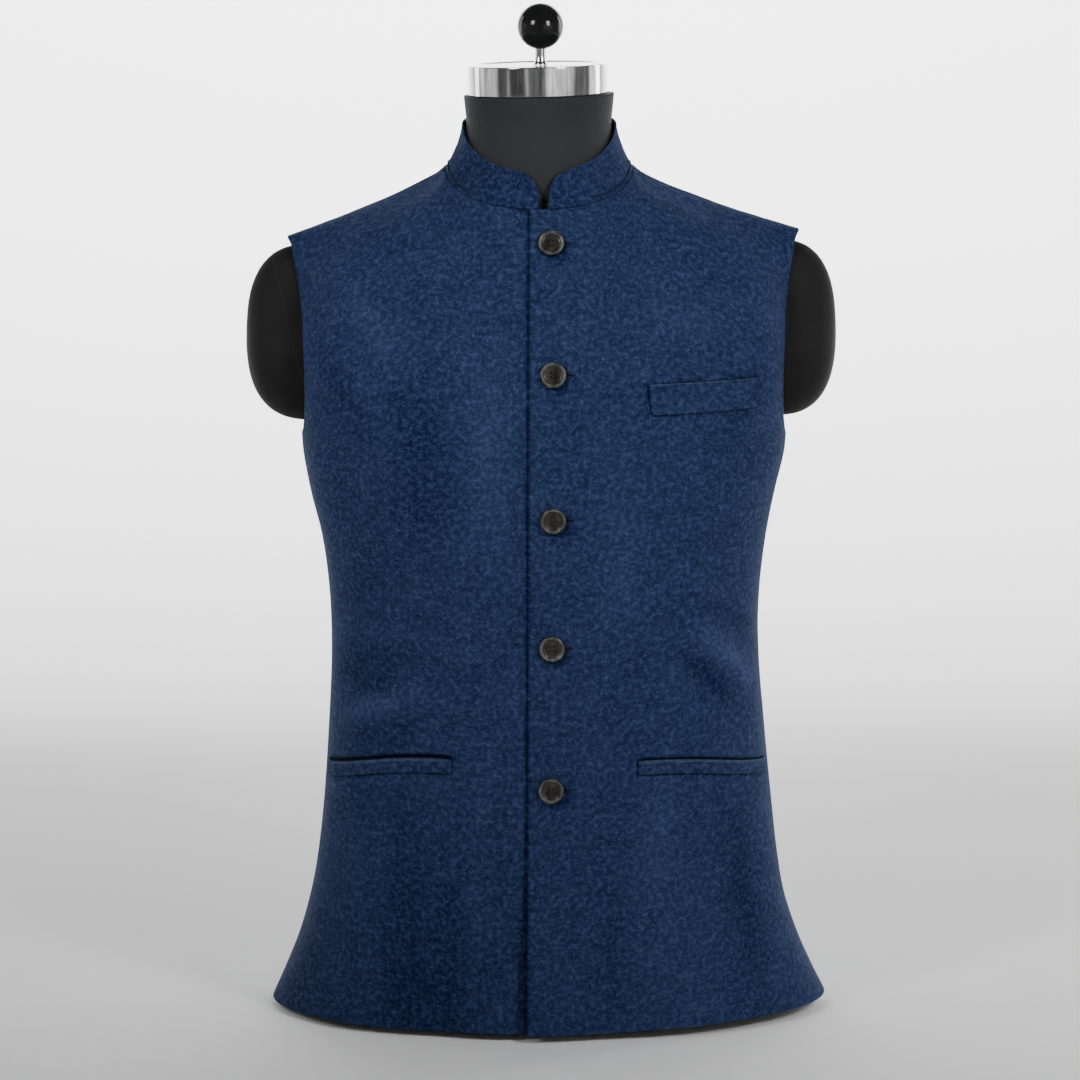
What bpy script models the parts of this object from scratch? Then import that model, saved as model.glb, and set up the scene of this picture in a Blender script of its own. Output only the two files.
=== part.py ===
"""Nehru jacket on a dress form: sleeveless, stand collar, five buttons, three welt pockets.

Metres, +Z up. The wearer's left is +X and the front faces -Y. The origin is on the surface
that the form stands on, under the middle of the chest. Every piece of cloth is a wall whose
outer face lies on one body surface, worked out from the section table below.
"""
import math

import bpy
from mathutils import Vector

# Cloth
WALL = 0.002
COLLAR_WALL = 0.0022
SEAM_TRIM = 0.0007
SHOULDER_TRIM = 0.0012
LAYER_GAP = 0.0004

# Heights
HEM_HEIGHT = 0.0060
HEM_SIDE_RISE = 0.0035
HEM_RIGHT_DROP = 0.0010
UNDERARM_HEIGHT = 0.486
FRONT_NECK_HEIGHT = 0.675
SIDE_NECK_HEIGHT = 0.7034
BACK_NECK_HEIGHT = 0.7078

# Body sections from the hem to the underarm. The last row only gives the lean of the
# surface as it leaves the underarm.
# Columns: height, reach to the right, left, front and back, squareness
SECTIONS = (
    (0.004, 0.2295, 0.2400, 0.1280, 0.1200, 1.95),
    (0.030, 0.2180, 0.2268, 0.1260, 0.1150, 2.05),
    (0.060, 0.2060, 0.2135, 0.1235, 0.1095, 2.18),
    (0.095, 0.1961, 0.2020, 0.1205, 0.1040, 2.30),
    (0.130, 0.1895, 0.1958, 0.1180, 0.0995, 2.35),
    (0.180, 0.1838, 0.1900, 0.1150, 0.0940, 2.40),
    (0.240, 0.1795, 0.1840, 0.1130, 0.0890, 2.45),
    (0.300, 0.1768, 0.1788, 0.1125, 0.0860, 2.45),
    (0.350, 0.1778, 0.1786, 0.1140, 0.0870, 2.45),
    (0.400, 0.1836, 0.1836, 0.1175, 0.0920, 2.45),
    (0.440, 0.1930, 0.1910, 0.1205, 0.0970, 2.50),
    (0.470, 0.1985, 0.1980, 0.1220, 0.1005, 2.50),
    (0.486, 0.1998, 0.1996, 0.1225, 0.1020, 2.50),
    (0.540, 0.2050, 0.2050, 0.1215, 0.1060, 2.50),
)

# Neckline, an oval a little to the wearer's right of the chest, as the form leans
NECK_SHIFT = -0.0040
NECK_HALF_WIDTH = 0.0765
NECK_FRONT_DEPTH = 0.067
NECK_BACK_DEPTH = 0.070
NECK_SQUARENESS = 2.1
NECK_DIP_POWER = 1.25

# Shoulder seams
# Columns: reach of the tip, drop from the neck to the tip, power of the drop
SHOULDER_RIGHT = (0.2108, 0.0563, 0.82)
SHOULDER_LEFT = (0.2094, 0.0503, 0.79)
NECK_SHARE = 0.42

# How the columns of the body surface leave the underarm level and reach the top edges
RISE_START = 1.05
FRONT_RISE_END = 0.72
BACK_RISE_END = 0.75
FRONT_NECK_LEAN = 0.42
BACK_NECK_LEAN = 0.30
CHEST_SQUARENESS = 2.5
SHOULDER_SQUARENESS = 4.4
COLUMN_EASE = 0.09
SQUARING_LOW = 0.42
SQUARING_HIGH = 0.28
FRONT_SEAM_TILT = 0.34
BACK_SEAM_TILT = 0.18

# Armholes: how far inside the widest line of the body their edges run, seen from the front
ARMHOLE_FRONT_INSET = 0.0098
ARMHOLE_BACK_INSET = 0.0085
ARMHOLE_FULLNESS = 0.85
ARMHOLE_SKEW = 0.78

# Front closing
LAP_EDGE = -0.014
LAP_RAMP = 0.013
LAP_RAMP_END = -0.0175
STAND_OFF = 0.0065
UNDER_RECESS = 0.002
STAND_OFF_TOP = 0.205
STAND_OFF_WIDTH = 0.070

# Soft folds in the panels, seen from the front
# Columns: face, x and z of one end, x and z of the other end, half width, rise
FOLDS = (
    ("front", -0.108, 0.284, -0.150, 0.256, 0.012, 0.0036),
    ("front", -0.118, 0.316, -0.155, 0.296, 0.016, -0.0030),
    ("front", 0.126, 0.334, 0.160, 0.294, 0.012, 0.0036),
    ("front", 0.142, 0.350, 0.165, 0.326, 0.013, -0.0028),
    ("front", -0.060, 0.150, -0.085, 0.010, 0.030, -0.0030),
    ("front", -0.135, 0.140, -0.165, 0.010, 0.028, 0.0030),
    ("front", 0.095, 0.130, 0.120, 0.010, 0.034, 0.0026),
    ("back", -0.070, 0.345, -0.165, 0.318, 0.015, 0.0032),
    ("back", -0.060, 0.300, -0.160, 0.288, 0.016, -0.0032),
    ("back", 0.075, 0.338, 0.168, 0.306, 0.015, 0.0032),
    ("back", 0.058, 0.306, 0.158, 0.276, 0.017, -0.0028),
    ("back", -0.075, 0.170, -0.105, 0.010, 0.032, 0.0050),
    ("back", 0.000, 0.150, 0.008, 0.010, 0.036, -0.0040),
    ("back", 0.080, 0.180, 0.112, 0.010, 0.030, 0.0050),
)

# Grids. Stops are places across the lap where a front has a column of points.
OVER_STOPS = (-0.014, 0.004, 0.024, 0.046)
UNDER_STOPS = (0.020, 0.002, -0.0175, -0.0310)
NECK_STEPS = 8
SHOULDER_STEPS = 9
LOWER_STEPS = 17
UPPER_STEPS = 9
COLLAR_STEPS = 34
COLLAR_ROWS = 3

# Collar
COLLAR_LIFT = 0.0010
COLLAR_PROUD = 0.0006
COLLAR_END_GAP_RIGHT = 0.0045
COLLAR_END_GAP_LEFT = 0.0040
COLLAR_HEIGHT_FRONT = 0.030
COLLAR_HEIGHT_BACK = 0.0385
COLLAR_END_HEIGHT = 0.010
COLLAR_CORNER = 0.019
COLLAR_END_STOPS = (0.0, 0.0008, 0.003, 0.0065, 0.011, 0.0155)
COLLAR_LEAN_POWER = 1.8
COLLAR_LEAN_SIDE = 0.0141
COLLAR_LEAN_FRONT = 0.006
COLLAR_LEAN_BACK = 0.004

# Buttons, from the neck down
# Columns: x and z of the middle, seen from the front
BUTTONS = (
    (0.0056, 0.6477),
    (0.0072, 0.5459),
    (0.0072, 0.4297),
    (0.0064, 0.3242),
    (0.0056, 0.2072),
)
BUTTON_RADIUS = 0.01075
BUTTON_THICKNESS = 0.0040
BUTTON_RIM = 0.0022
BUTTON_DISH = 0.0013
BUTTON_SIDES = 22

# Welts of the pockets, seen from the front
# Columns: name, x and z of the top edge's inner end, of its outer end, height, slant
WELTS = (
    ("chest_welt", 0.0822, 0.5385, 0.1706, 0.5415, 0.0245, 0.0040),
    ("hip_welt_right", -0.0750, 0.2290, -0.1768, 0.2150, 0.0120, 0.0),
    ("hip_welt_left", 0.0765, 0.2290, 0.1822, 0.2180, 0.0115, 0.0),
)
WELT_THICKNESS = 0.0018
WELT_STEPS = 12
WELT_ROWS = 2

# Dress form
# Columns: height, reach to the right, left, front and back, squareness
FORM_SECTIONS = (
    (0.000, 0.1660, 0.1680, 0.0950, 0.0920, 2.20),
    (0.060, 0.1680, 0.1700, 0.0960, 0.0920, 2.20),
    (0.120, 0.1705, 0.1725, 0.0980, 0.0890, 2.25),
    (0.180, 0.1715, 0.1740, 0.0990, 0.0840, 2.30),
    (0.240, 0.1700, 0.1720, 0.0995, 0.0790, 2.35),
    (0.300, 0.1680, 0.1690, 0.1010, 0.0760, 2.35),
    (0.350, 0.1690, 0.1695, 0.1035, 0.0780, 2.40),
    (0.400, 0.1755, 0.1755, 0.1080, 0.0840, 2.40),
    (0.440, 0.1850, 0.1830, 0.1120, 0.0895, 2.45),
    (0.486, 0.1935, 0.1932, 0.1160, 0.0960, 2.50),
)
FORM_CLEARANCE = 0.006
FORM_SHOULDER_CLEARANCE = 0.0036
FORM_NECK_CLEARANCE = 0.0022
FORM_LAP_CLEARANCE = 0.0034
FORM_LAP_HALF_WIDTH = 0.045
FORM_SIDE_FLAT = 0.190
FORM_LOWER_STEPS = 8
NECK_INSET = 0.0085
NECK_TOP = 0.7645
NECK_CENTRE_X = -0.0042
NECK_CENTRE_Y = 0.003
# Columns: height, radius
NECK_ROWS = (
    (0.7295, 0.0598),
    (0.7445, 0.0598),
    (0.7545, 0.0611),
    (0.7645, 0.0619),
)

ARM_ROOT = 0.1903
ARM_REACH_RIGHT = 0.2450
ARM_REACH_LEFT = 0.2402
ARM_CENTRE_HEIGHT_RIGHT = 0.568
ARM_CENTRE_HEIGHT_LEFT = 0.572
ARM_HALF_HEIGHT = 0.0735
ARM_HALF_DEPTH = 0.0470
ARM_HALF_DEPTH_TOP = 0.0290
ARM_CENTRE_DEPTH = -0.003
ARM_SQUARENESS = 2.6
ARM_TAPER = -0.02
ARM_SIDES = 32
ARM_RINGS = 8

CAP_GAP = 0.0003
CAP_SHIFT = 0.0010
BAND_RADIUS = 0.0570
BAND_HEIGHT = 0.0225
BAND_LIP = 0.0018
BAND_EDGE = 0.0010
SPINDLE_RADIUS = 0.0053
SPINDLE_WAIST = 0.0040
SPINDLE_HEIGHT = 0.0142
BALL_RADIUS = 0.0182
BAND_TILT = math.radians(1.2)
SPINDLE_OFFSET = 0.0012
BAND_SIDES = 44

# Colours
NAVY = (0.0165, 0.034, 0.085)
HORN = (0.022, 0.019, 0.017)
JERSEY = (0.026, 0.027, 0.029)
CHROME = (0.62, 0.62, 0.63)
BLACK_GLOSS = (0.020, 0.021, 0.022)


def smooth(value):
    """Rise from 0 to 1 with flat ends."""
    value = min(max(value, 0.0), 1.0)
    return value * value * (3.0 - 2.0 * value)


def section(table, height):
    """Interpolate a section table smoothly at one height."""
    heights = [row[0] for row in table]
    last = len(table) - 1
    index = 0
    while index < last - 1 and height > heights[index + 1]:
        index += 1
    span = heights[index + 1] - heights[index]
    t = min(max((height - heights[index]) / span, 0.0), 1.0)
    before = table[max(index - 1, 0)]
    start = table[index]
    end = table[index + 1]
    after = table[min(index + 2, last)]
    values = []
    for column in range(1, len(start)):
        slope_start = (end[column] - before[column]) / (end[0] - before[0]) * span
        slope_end = (after[column] - start[column]) / (after[0] - start[0]) * span
        values.append(
            (2 * t**3 - 3 * t**2 + 1) * start[column]
            + (t**3 - 2 * t**2 + t) * slope_start
            + (3 * t**2 - 2 * t**3) * end[column]
            + (t**3 - t**2) * slope_end
        )
    return values


def oval_point(angle, right, left, front, back, squareness):
    """Point of a squared oval. The angle runs from the front to the wearer's left."""
    across = math.sin(angle)
    ahead = math.cos(angle)
    half_width = left if across > 0 else right
    depth = front if ahead > 0 else back
    reach = (abs(across) / half_width) ** squareness + (abs(ahead) / depth) ** squareness
    radius = reach ** (-1.0 / squareness)
    return radius * across, -radius * ahead


def ring_point(face, column, height, table=SECTIONS):
    """Point of the body below the underarm. Column is -1 at the right side, 1 at the left."""
    angle = column * math.pi / 2
    if face == "back":
        angle = math.pi - angle
    x, y = oval_point(angle, *section(table, height))
    return Vector((x, y, height))


def neck_height(angle):
    """Height of the neckline at an angle from the front."""
    turn = abs(angle)
    if turn <= math.pi / 2:
        rise = (1.0 - math.cos(turn)) ** NECK_DIP_POWER
        return FRONT_NECK_HEIGHT + (SIDE_NECK_HEIGHT - FRONT_NECK_HEIGHT) * rise
    rise = math.sin(turn - math.pi / 2)
    return SIDE_NECK_HEIGHT + (BACK_NECK_HEIGHT - SIDE_NECK_HEIGHT) * rise


def neck_point(angle, inset=0.0):
    """Point of the neckline at an angle from the front."""
    x, y = oval_point(
        angle,
        NECK_HALF_WIDTH - inset,
        NECK_HALF_WIDTH - inset,
        NECK_FRONT_DEPTH - inset,
        NECK_BACK_DEPTH - inset,
        NECK_SQUARENESS,
    )
    return Vector((x + NECK_SHIFT, y, neck_height(angle)))


def shoulder_point(side, share):
    """Point of a shoulder seam, from the neck at 0 to the tip at 1. Side is -1 or 1."""
    start = NECK_SHIFT + side * NECK_HALF_WIDTH
    tip, drop, power = SHOULDER_LEFT if side > 0 else SHOULDER_RIGHT
    x = start + (side * tip - start) * share
    return Vector((x, 0.0, SIDE_NECK_HEIGHT - drop * share**power))


def top_point(face, column):
    """Upper end of a column: on the neckline, or on the shoulder seam."""
    side = 1 if column > 0 else -1
    share = abs(column)
    if share >= NECK_SHARE:
        return shoulder_point(side, (share - NECK_SHARE) / (1.0 - NECK_SHARE))
    angle = side * share / NECK_SHARE * math.pi / 2
    if face == "back":
        angle = math.pi - angle if angle >= 0 else -math.pi - angle
    return neck_point(angle)


def top_direction(face, column):
    """Direction in which a column reaches the top edge."""
    over = 1.0 if face == "front" else -1.0
    lean = FRONT_NECK_LEAN if face == "front" else BACK_NECK_LEAN
    turn = min(abs(column) / NECK_SHARE, 1.0) * math.pi / 2
    at_neck = Vector((0.0, over * lean, 1.0)).normalized()
    most = FRONT_SEAM_TILT if face == "front" else BACK_SEAM_TILT
    tilt = most * (1.0 - smooth((abs(column) - NECK_SHARE) / (1.0 - NECK_SHARE)))
    at_shoulder = Vector((0.0, over, over * tilt)).normalized()
    share = math.sin(turn) ** (2 if face == "front" else 3)
    return (at_neck * (1.0 - share) + at_shoulder * share).normalized()


def rising_point(face, column, t):
    """Point of a column between the underarm level at 0 and the top edge at 1."""
    start = ring_point(face, column, UNDERARM_HEIGHT)
    above = ring_point(face, column, UNDERARM_HEIGHT + 0.01)
    end = top_point(face, column)
    length = (end - start).length
    ending = FRONT_RISE_END if face == "front" else BACK_RISE_END
    leave = (above - start).normalized() * length * RISE_START
    arrive = top_direction(face, column) * length * ending
    return (
        start * (2 * t**3 - 3 * t**2 + 1)
        + leave * (t**3 - 2 * t**2 + t)
        + end * (3 * t**2 - 2 * t**3)
        + arrive * (t**3 - t**2)
    )


def eased_point(face, column, t):
    """Rising point evened out with its neighbours, but for the edges and the sides."""
    reach = COLUMN_EASE * math.sin(math.pi * t) * (1.0 - abs(column))
    point = Vector()
    for step, weight in ((-2, 1), (-1, 4), (0, 6), (1, 4), (2, 1)):
        point += rising_point(face, column + reach * step, t) * (weight / 16)
    return point


def plain_point(face, column, level):
    """Body surface without folds: level 0 is the hem, 1 the underarm, 2 the top edge."""
    if level <= 1.0:
        rise = HEM_SIDE_RISE if column > 0 else -HEM_RIGHT_DROP
        hem = HEM_HEIGHT + rise * math.sin(column * math.pi / 2) ** 2
        return ring_point(face, column, hem + (UNDERARM_HEIGHT - hem) * level)
    t = min(level - 1.0, 1.0)
    point = eased_point(face, column, t)
    across = abs(point.x / rising_point(face, 1.0 if column > 0 else -1.0, t).x)
    ahead = abs(point.y / rising_point(face, 0.0, t).y)
    rounder = (across**CHEST_SQUARENESS + ahead**CHEST_SQUARENESS) ** (1 / CHEST_SQUARENESS)
    squarer = (across**SHOULDER_SQUARENESS + ahead**SHOULDER_SQUARENESS) ** (1 / SHOULDER_SQUARENESS)
    push = (rounder / squarer - 1.0) * smooth(t / SQUARING_LOW) * smooth((1.0 - t) / SQUARING_HIGH)
    point.x *= 1.0 + push
    point.y *= 1.0 + push
    return point


def fold_height(face, x, z):
    """Height of the soft folds at a place seen from the front."""
    height = 0.0
    for fold_face, x_1, z_1, x_2, z_2, half_width, rise in FOLDS:
        if fold_face != face:
            continue
        run_x = x_2 - x_1
        run_z = z_2 - z_1
        along = ((x - x_1) * run_x + (z - z_1) * run_z) / (run_x**2 + run_z**2)
        nearest = min(max(along, 0.0), 1.0)
        distance = math.hypot(x - x_1 - nearest * run_x, z - z_1 - nearest * run_z)
        height += rise * math.exp(-((distance / half_width) ** 2))
    return height


def surface_normal(face, column, level):
    """Outward normal of the plain body surface."""
    step = 0.004
    low = max(level - step, 0.0)
    high = min(level + step, 2.0)
    across = plain_point(face, column + step, level) - plain_point(face, column - step, level)
    upward = plain_point(face, column, high) - plain_point(face, column, low)
    normal = across.cross(upward)
    if face == "back":
        normal.negate()
    return normal.normalized()


def body_point(face, column, level, out=0.0):
    """Outer point of the cloth, with its folds, moved out by a distance."""
    point = plain_point(face, column, level)
    rise = out + fold_height(face, point.x, point.z)
    return point + surface_normal(face, column, level) * rise


def column_at(face, x, level):
    """Column of the body surface that passes a sideways place at one level."""
    column = 0.5 if x > 0 else -0.5
    for _ in range(12):
        here = plain_point(face, column, level).x
        step = 0.001
        slope = (plain_point(face, column + step, level).x - here) / step
        column = min(max(column - (here - x) / slope, -0.98), 0.98)
    return column


def place_at(face, x, z):
    """Column and level of the point seen at a place from the front."""
    level = 1.0
    low = 0.0
    high = 2.0
    column = 0.0
    for _ in range(30):
        level = (low + high) / 2
        column = column_at(face, x, level)
        if plain_point(face, column, level).z < z:
            low = level
        else:
            high = level
    return column, level


def side_column(face, side, level):
    """Column where a panel ends: at the side seam, or at the armhole above it."""
    if level <= 1.0:
        return side * (1.0 - SEAM_TRIM)
    inset = ARMHOLE_FRONT_INSET if face == "front" else ARMHOLE_BACK_INSET
    inset *= math.sin(math.pi * (level - 1.0) ** ARMHOLE_SKEW) ** ARMHOLE_FULLNESS
    edge = abs(plain_point(face, side, level).x) - inset
    low = 0.6
    high = 1.0 - SEAM_TRIM
    for _ in range(24):
        middle = (low + high) / 2
        if abs(plain_point(face, side * middle, level).x) < edge:
            low = middle
        else:
            high = middle
    return side * high


def levels():
    """Rows of a panel, from the hem to the top edge, closer near the armhole's ends."""
    rows = [step / LOWER_STEPS for step in range(LOWER_STEPS)]
    for step in range(UPPER_STEPS + 1):
        share = step / UPPER_STEPS
        eased = share + 0.5 * (smooth(share) - share)
        rows.append(1.0 + eased * (1.0 - SHOULDER_TRIM))
    return rows


def lap_out(side, x, z):
    """Distance by which the cloth of a front lies outside the body surface at the lap."""
    low = smooth((STAND_OFF_TOP - z) / STAND_OFF_TOP)
    if side > 0:
        return STAND_OFF * low * smooth((STAND_OFF_WIDTH - (x - LAP_EDGE)) / STAND_OFF_WIDTH)
    covered = smooth((x - LAP_RAMP_END + LAP_RAMP) / LAP_RAMP)
    return -covered * (WALL + LAYER_GAP + UNDER_RECESS * low)


def front_rows(side):
    """Outer and inner points of a front, row by row. Side is 1 for the wearer's left."""
    stops = OVER_STOPS if side > 0 else UNDER_STOPS
    turn = side * NECK_SHARE
    outer = []
    inner = []
    for level in levels():
        columns = [column_at("front", x, level) for x in stops]
        steps = NECK_STEPS - len(stops) + 1
        start = columns[-1]
        columns += [start + (turn - start) * i / steps for i in range(1, steps)]
        last = side_column("front", side, level)
        columns += [turn + (last - turn) * i / SHOULDER_STEPS for i in range(SHOULDER_STEPS + 1)]
        outer_row = []
        inner_row = []
        for column in columns:
            plain = plain_point("front", column, level)
            out = lap_out(side, plain.x, plain.z)
            outer_row.append(body_point("front", column, level, out))
            inner_row.append(body_point("front", column, level, out - WALL))
        outer.append(outer_row)
        inner.append(inner_row)
    return outer, inner


def back_rows():
    """Outer and inner points of the back, from the wearer's left side to the right."""
    outer = []
    inner = []
    for level in levels():
        columns = [0.0]
        for side in (1, -1):
            turn = side * NECK_SHARE
            last = side_column("back", side, level)
            half = [turn * i / NECK_STEPS for i in range(1, NECK_STEPS)]
            half += [turn + (last - turn) * i / SHOULDER_STEPS for i in range(SHOULDER_STEPS + 1)]
            columns = columns + half if side < 0 else list(reversed(half)) + columns
        outer.append([body_point("back", column, level) for column in columns])
        inner.append([body_point("back", column, level, -WALL) for column in columns])
    return outer, inner


def wall_mesh(name, outer, inner):
    """Closed wall between two grids of points."""
    rows = len(outer)
    columns = len(outer[0])
    vertices = [point for row in outer for point in row]
    vertices += [point for row in inner for point in row]
    offset = rows * columns
    faces = []
    for i in range(rows - 1):
        for j in range(columns - 1):
            a = i * columns + j
            b = a + 1
            c = a + columns + 1
            d = a + columns
            faces.append((a, b, c, d))
            faces.append((offset + d, offset + c, offset + b, offset + a))
    rim = [j for j in range(columns)]
    rim += [i * columns + columns - 1 for i in range(1, rows)]
    rim += [(rows - 1) * columns + j for j in range(columns - 2, -1, -1)]
    rim += [i * columns for i in range(rows - 2, 0, -1)]
    for here, there in zip(rim, rim[1:] + rim[:1]):
        faces.append((there, here, offset + here, offset + there))
    return mesh_from(name, vertices, faces)


def mesh_from(name, vertices, faces):
    """Mesh from points and faces, turned so that its faces point outwards."""
    mesh = bpy.data.meshes.new(name)
    mesh.from_pydata([tuple(point) for point in vertices], [], faces)
    mesh.validate()
    volume = 0.0
    mesh.calc_loop_triangles()
    for triangle in mesh.loop_triangles:
        a, b, c = (mesh.vertices[index].co for index in triangle.vertices)
        volume += a.dot(b.cross(c))
    if volume < 0:
        mesh.flip_normals()
    return mesh


def material(name, colour, roughness, metallic=0.0):
    """Plain material with one colour."""
    made = bpy.data.materials.new(name)
    made.use_nodes = True
    shader = made.node_tree.nodes["Principled BSDF"]
    shader.inputs["Base Color"].default_value = (*colour, 1.0)
    shader.inputs["Roughness"].default_value = roughness
    shader.inputs["Metallic"].default_value = metallic
    return made


def add_object(name, mesh, finish, parent):
    """Object for one sub-part."""
    mesh.shade_smooth()
    mesh.set_sharp_from_angle(angle=math.radians(40))
    mesh.materials.append(finish)
    made = bpy.data.objects.new(name, mesh)
    bpy.context.scene.collection.objects.link(made)
    made.parent = parent
    return made


def turned_mesh(name, profile, sides):
    """Solid turned round +Z from a profile of (radius, height) that starts and ends at 0."""
    vertices = []
    rings = []
    for radius, height in profile:
        if radius == 0:
            rings.append([len(vertices)])
            vertices.append((0.0, 0.0, height))
            continue
        rings.append(range(len(vertices), len(vertices) + sides))
        for i in range(sides):
            angle = 2 * math.pi * i / sides
            vertices.append((radius * math.cos(angle), radius * math.sin(angle), height))
    faces = []
    for low, high in zip(rings, rings[1:]):
        for i in range(sides):
            j = (i + 1) % sides
            if len(low) == 1:
                faces.append((low[0], high[j], high[i]))
            elif len(high) == 1:
                faces.append((low[i], low[j], high[0]))
            else:
                faces.append((low[i], low[j], high[j], high[i]))
    return mesh_from(name, vertices, faces)


def collar_height(arc_left, angle):
    """Height of the collar above the neckline. Arc_left is the way to the nearer end."""
    turn = abs(angle)
    full = COLLAR_HEIGHT_FRONT
    full += (COLLAR_HEIGHT_BACK - COLLAR_HEIGHT_FRONT) * smooth(turn / (math.pi * 0.62))
    if arc_left >= COLLAR_CORNER:
        return full
    curve = math.sqrt(1.0 - (1.0 - arc_left / COLLAR_CORNER) ** 2)
    return COLLAR_END_HEIGHT + (full - COLLAR_END_HEIGHT) * curve


def collar_lean(angle):
    """Distance by which the collar's top edge lies nearer the neck than its seam."""
    side = math.sin(angle) ** 2
    ahead = COLLAR_LEAN_FRONT if math.cos(angle) > 0 else COLLAR_LEAN_BACK
    return side * COLLAR_LEAN_SIDE + (1.0 - side) * ahead


def collar_angles():
    """Angles round the neckline from the left end to the right end, with their arcs."""
    fine = 1440
    start = math.atan2(COLLAR_END_GAP_LEFT - NECK_SHIFT, NECK_FRONT_DEPTH)
    finish = 2 * math.pi - math.atan2(COLLAR_END_GAP_RIGHT + NECK_SHIFT, NECK_FRONT_DEPTH)
    angles = [start + (finish - start) * i / fine for i in range(fine + 1)]
    arcs = [0.0]
    for before, after in zip(angles, angles[1:]):
        step = neck_point(wrap(after)) - neck_point(wrap(before))
        arcs.append(arcs[-1] + step.length)
    total = arcs[-1]
    first = COLLAR_CORNER + 0.002
    stops = list(COLLAR_END_STOPS)
    stops += [first + (total - 2 * first) * i / COLLAR_STEPS for i in range(COLLAR_STEPS + 1)]
    stops += [total - stop for stop in reversed(COLLAR_END_STOPS)]
    picked = []
    for stop in stops:
        index = min(range(len(arcs)), key=lambda k: abs(arcs[k] - stop))
        picked.append((angles[index], min(stop, total - stop)))
    return picked


def wrap(angle):
    """Angle between minus half a turn and half a turn."""
    return math.atan2(math.sin(angle), math.cos(angle))


def collar_point(angle, arc_left, share, inward):
    """Point of the collar: share 0 at the seam and 1 at the top, inward from its face."""
    turn = wrap(angle)
    height = collar_height(arc_left, turn)
    full = COLLAR_HEIGHT_BACK
    lean = collar_lean(turn) * (1.0 - (1.0 - min(height * share / full, 1.0)) ** COLLAR_LEAN_POWER)
    point = neck_point(turn, inset=lean + inward - COLLAR_PROUD)
    point.z = neck_height(turn) + COLLAR_LIFT + height * share
    return point


def build_collar(finish, parent):
    """Stand collar, one wall round the neck with a gap and rounded corners in front."""
    angles = collar_angles()
    outer = []
    inner = []
    for row in range(COLLAR_ROWS + 1):
        share = row / COLLAR_ROWS
        outer.append([collar_point(a, arc, share, 0.0) for a, arc in angles])
        inner.append([collar_point(a, arc, share, COLLAR_WALL) for a, arc in angles])
    add_object("collar", wall_mesh("collar", outer, inner), finish, parent)


def build_welt(row, finish, parent):
    """Welt of a pocket: a low band made from the front's own points, moved out."""
    name, x_inner, z_inner, x_outer, z_outer, height, slant = row
    side = 1 if x_inner > 0 else -1
    outer = []
    inner = []
    for i in range(WELT_ROWS + 1):
        below = 1.0 - i / WELT_ROWS
        drop = height * below
        first = place_at("front", x_inner + side * slant * below, z_inner - drop)
        last = place_at("front", x_outer, z_outer - drop)
        outer_row = []
        inner_row = []
        for j in range(WELT_STEPS + 1):
            share = j / WELT_STEPS
            column = first[0] + (last[0] - first[0]) * share
            level = first[1] + (last[1] - first[1]) * share
            lift = LAYER_GAP + 0.0002
            inner_row.append(body_point("front", column, level, lift))
            outer_row.append(body_point("front", column, level, lift + WELT_THICKNESS))
        outer.append(outer_row)
        inner.append(inner_row)
    if side < 0:
        outer = [list(reversed(row_points)) for row_points in outer]
        inner = [list(reversed(row_points)) for row_points in inner]
    add_object(name, wall_mesh(name, outer, inner), finish, parent)


def build_buttons(finish, parent):
    """Five dished buttons standing on the overlapping front."""
    rim_inner = BUTTON_RADIUS - BUTTON_RIM
    profile = (
        (0.0, 0.0),
        (BUTTON_RADIUS * 0.86, 0.0),
        (BUTTON_RADIUS, BUTTON_THICKNESS * 0.38),
        (BUTTON_RADIUS, BUTTON_THICKNESS * 0.68),
        (BUTTON_RADIUS * 0.93, BUTTON_THICKNESS),
        (rim_inner, BUTTON_THICKNESS),
        (rim_inner * 0.86, BUTTON_THICKNESS - BUTTON_DISH),
        (0.0, BUTTON_THICKNESS - BUTTON_DISH),
    )
    for number, (x, z) in enumerate(BUTTONS, start=1):
        name = f"button_{number}"
        made = add_object(name, turned_mesh(name, profile, BUTTON_SIDES), finish, parent)
        column, level = place_at("front", x, z)
        normal = surface_normal("front", column, level)
        plain = plain_point("front", column, level)
        out = lap_out(1, plain.x, plain.z) + LAYER_GAP
        made.location = body_point("front", column, level, out)
        made.rotation_euler = normal.to_track_quat("Z", "Y").to_euler()


def form_point(face, column, level):
    """Point of the dress form's body above the underarm, just inside the cloth."""
    rest = smooth((level - 1.35) / 0.6)
    inside = FORM_CLEARANCE + (FORM_SHOULDER_CLEARANCE - FORM_CLEARANCE) * rest
    point = plain_point(face, column, level)
    if face == "front":
        lapped = smooth(2.0 * (FORM_LAP_HALF_WIDTH - abs(point.x)) / FORM_LAP_HALF_WIDTH)
        inside += FORM_LAP_CLEARANCE * lapped
    inside += FORM_NECK_CLEARANCE * rest * smooth((NECK_SHARE + 0.05 - abs(column)) / 0.08)
    point -= surface_normal(face, column, level) * inside
    point.x = min(max(point.x, -FORM_SIDE_FLAT), FORM_SIDE_FLAT)
    return point


def form_rings(around):
    """Closed rings of the dress form from its foot to the shoulders."""
    rings = []
    for step in range(FORM_LOWER_STEPS):
        height = UNDERARM_HEIGHT * step / FORM_LOWER_STEPS
        rings.append([ring_point(face, column, height, FORM_SECTIONS) for face, column in around])
    for level in levels()[LOWER_STEPS:-1] + [2.0]:
        rings.append([form_point(face, column, level) for face, column in around])
    return rings


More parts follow.
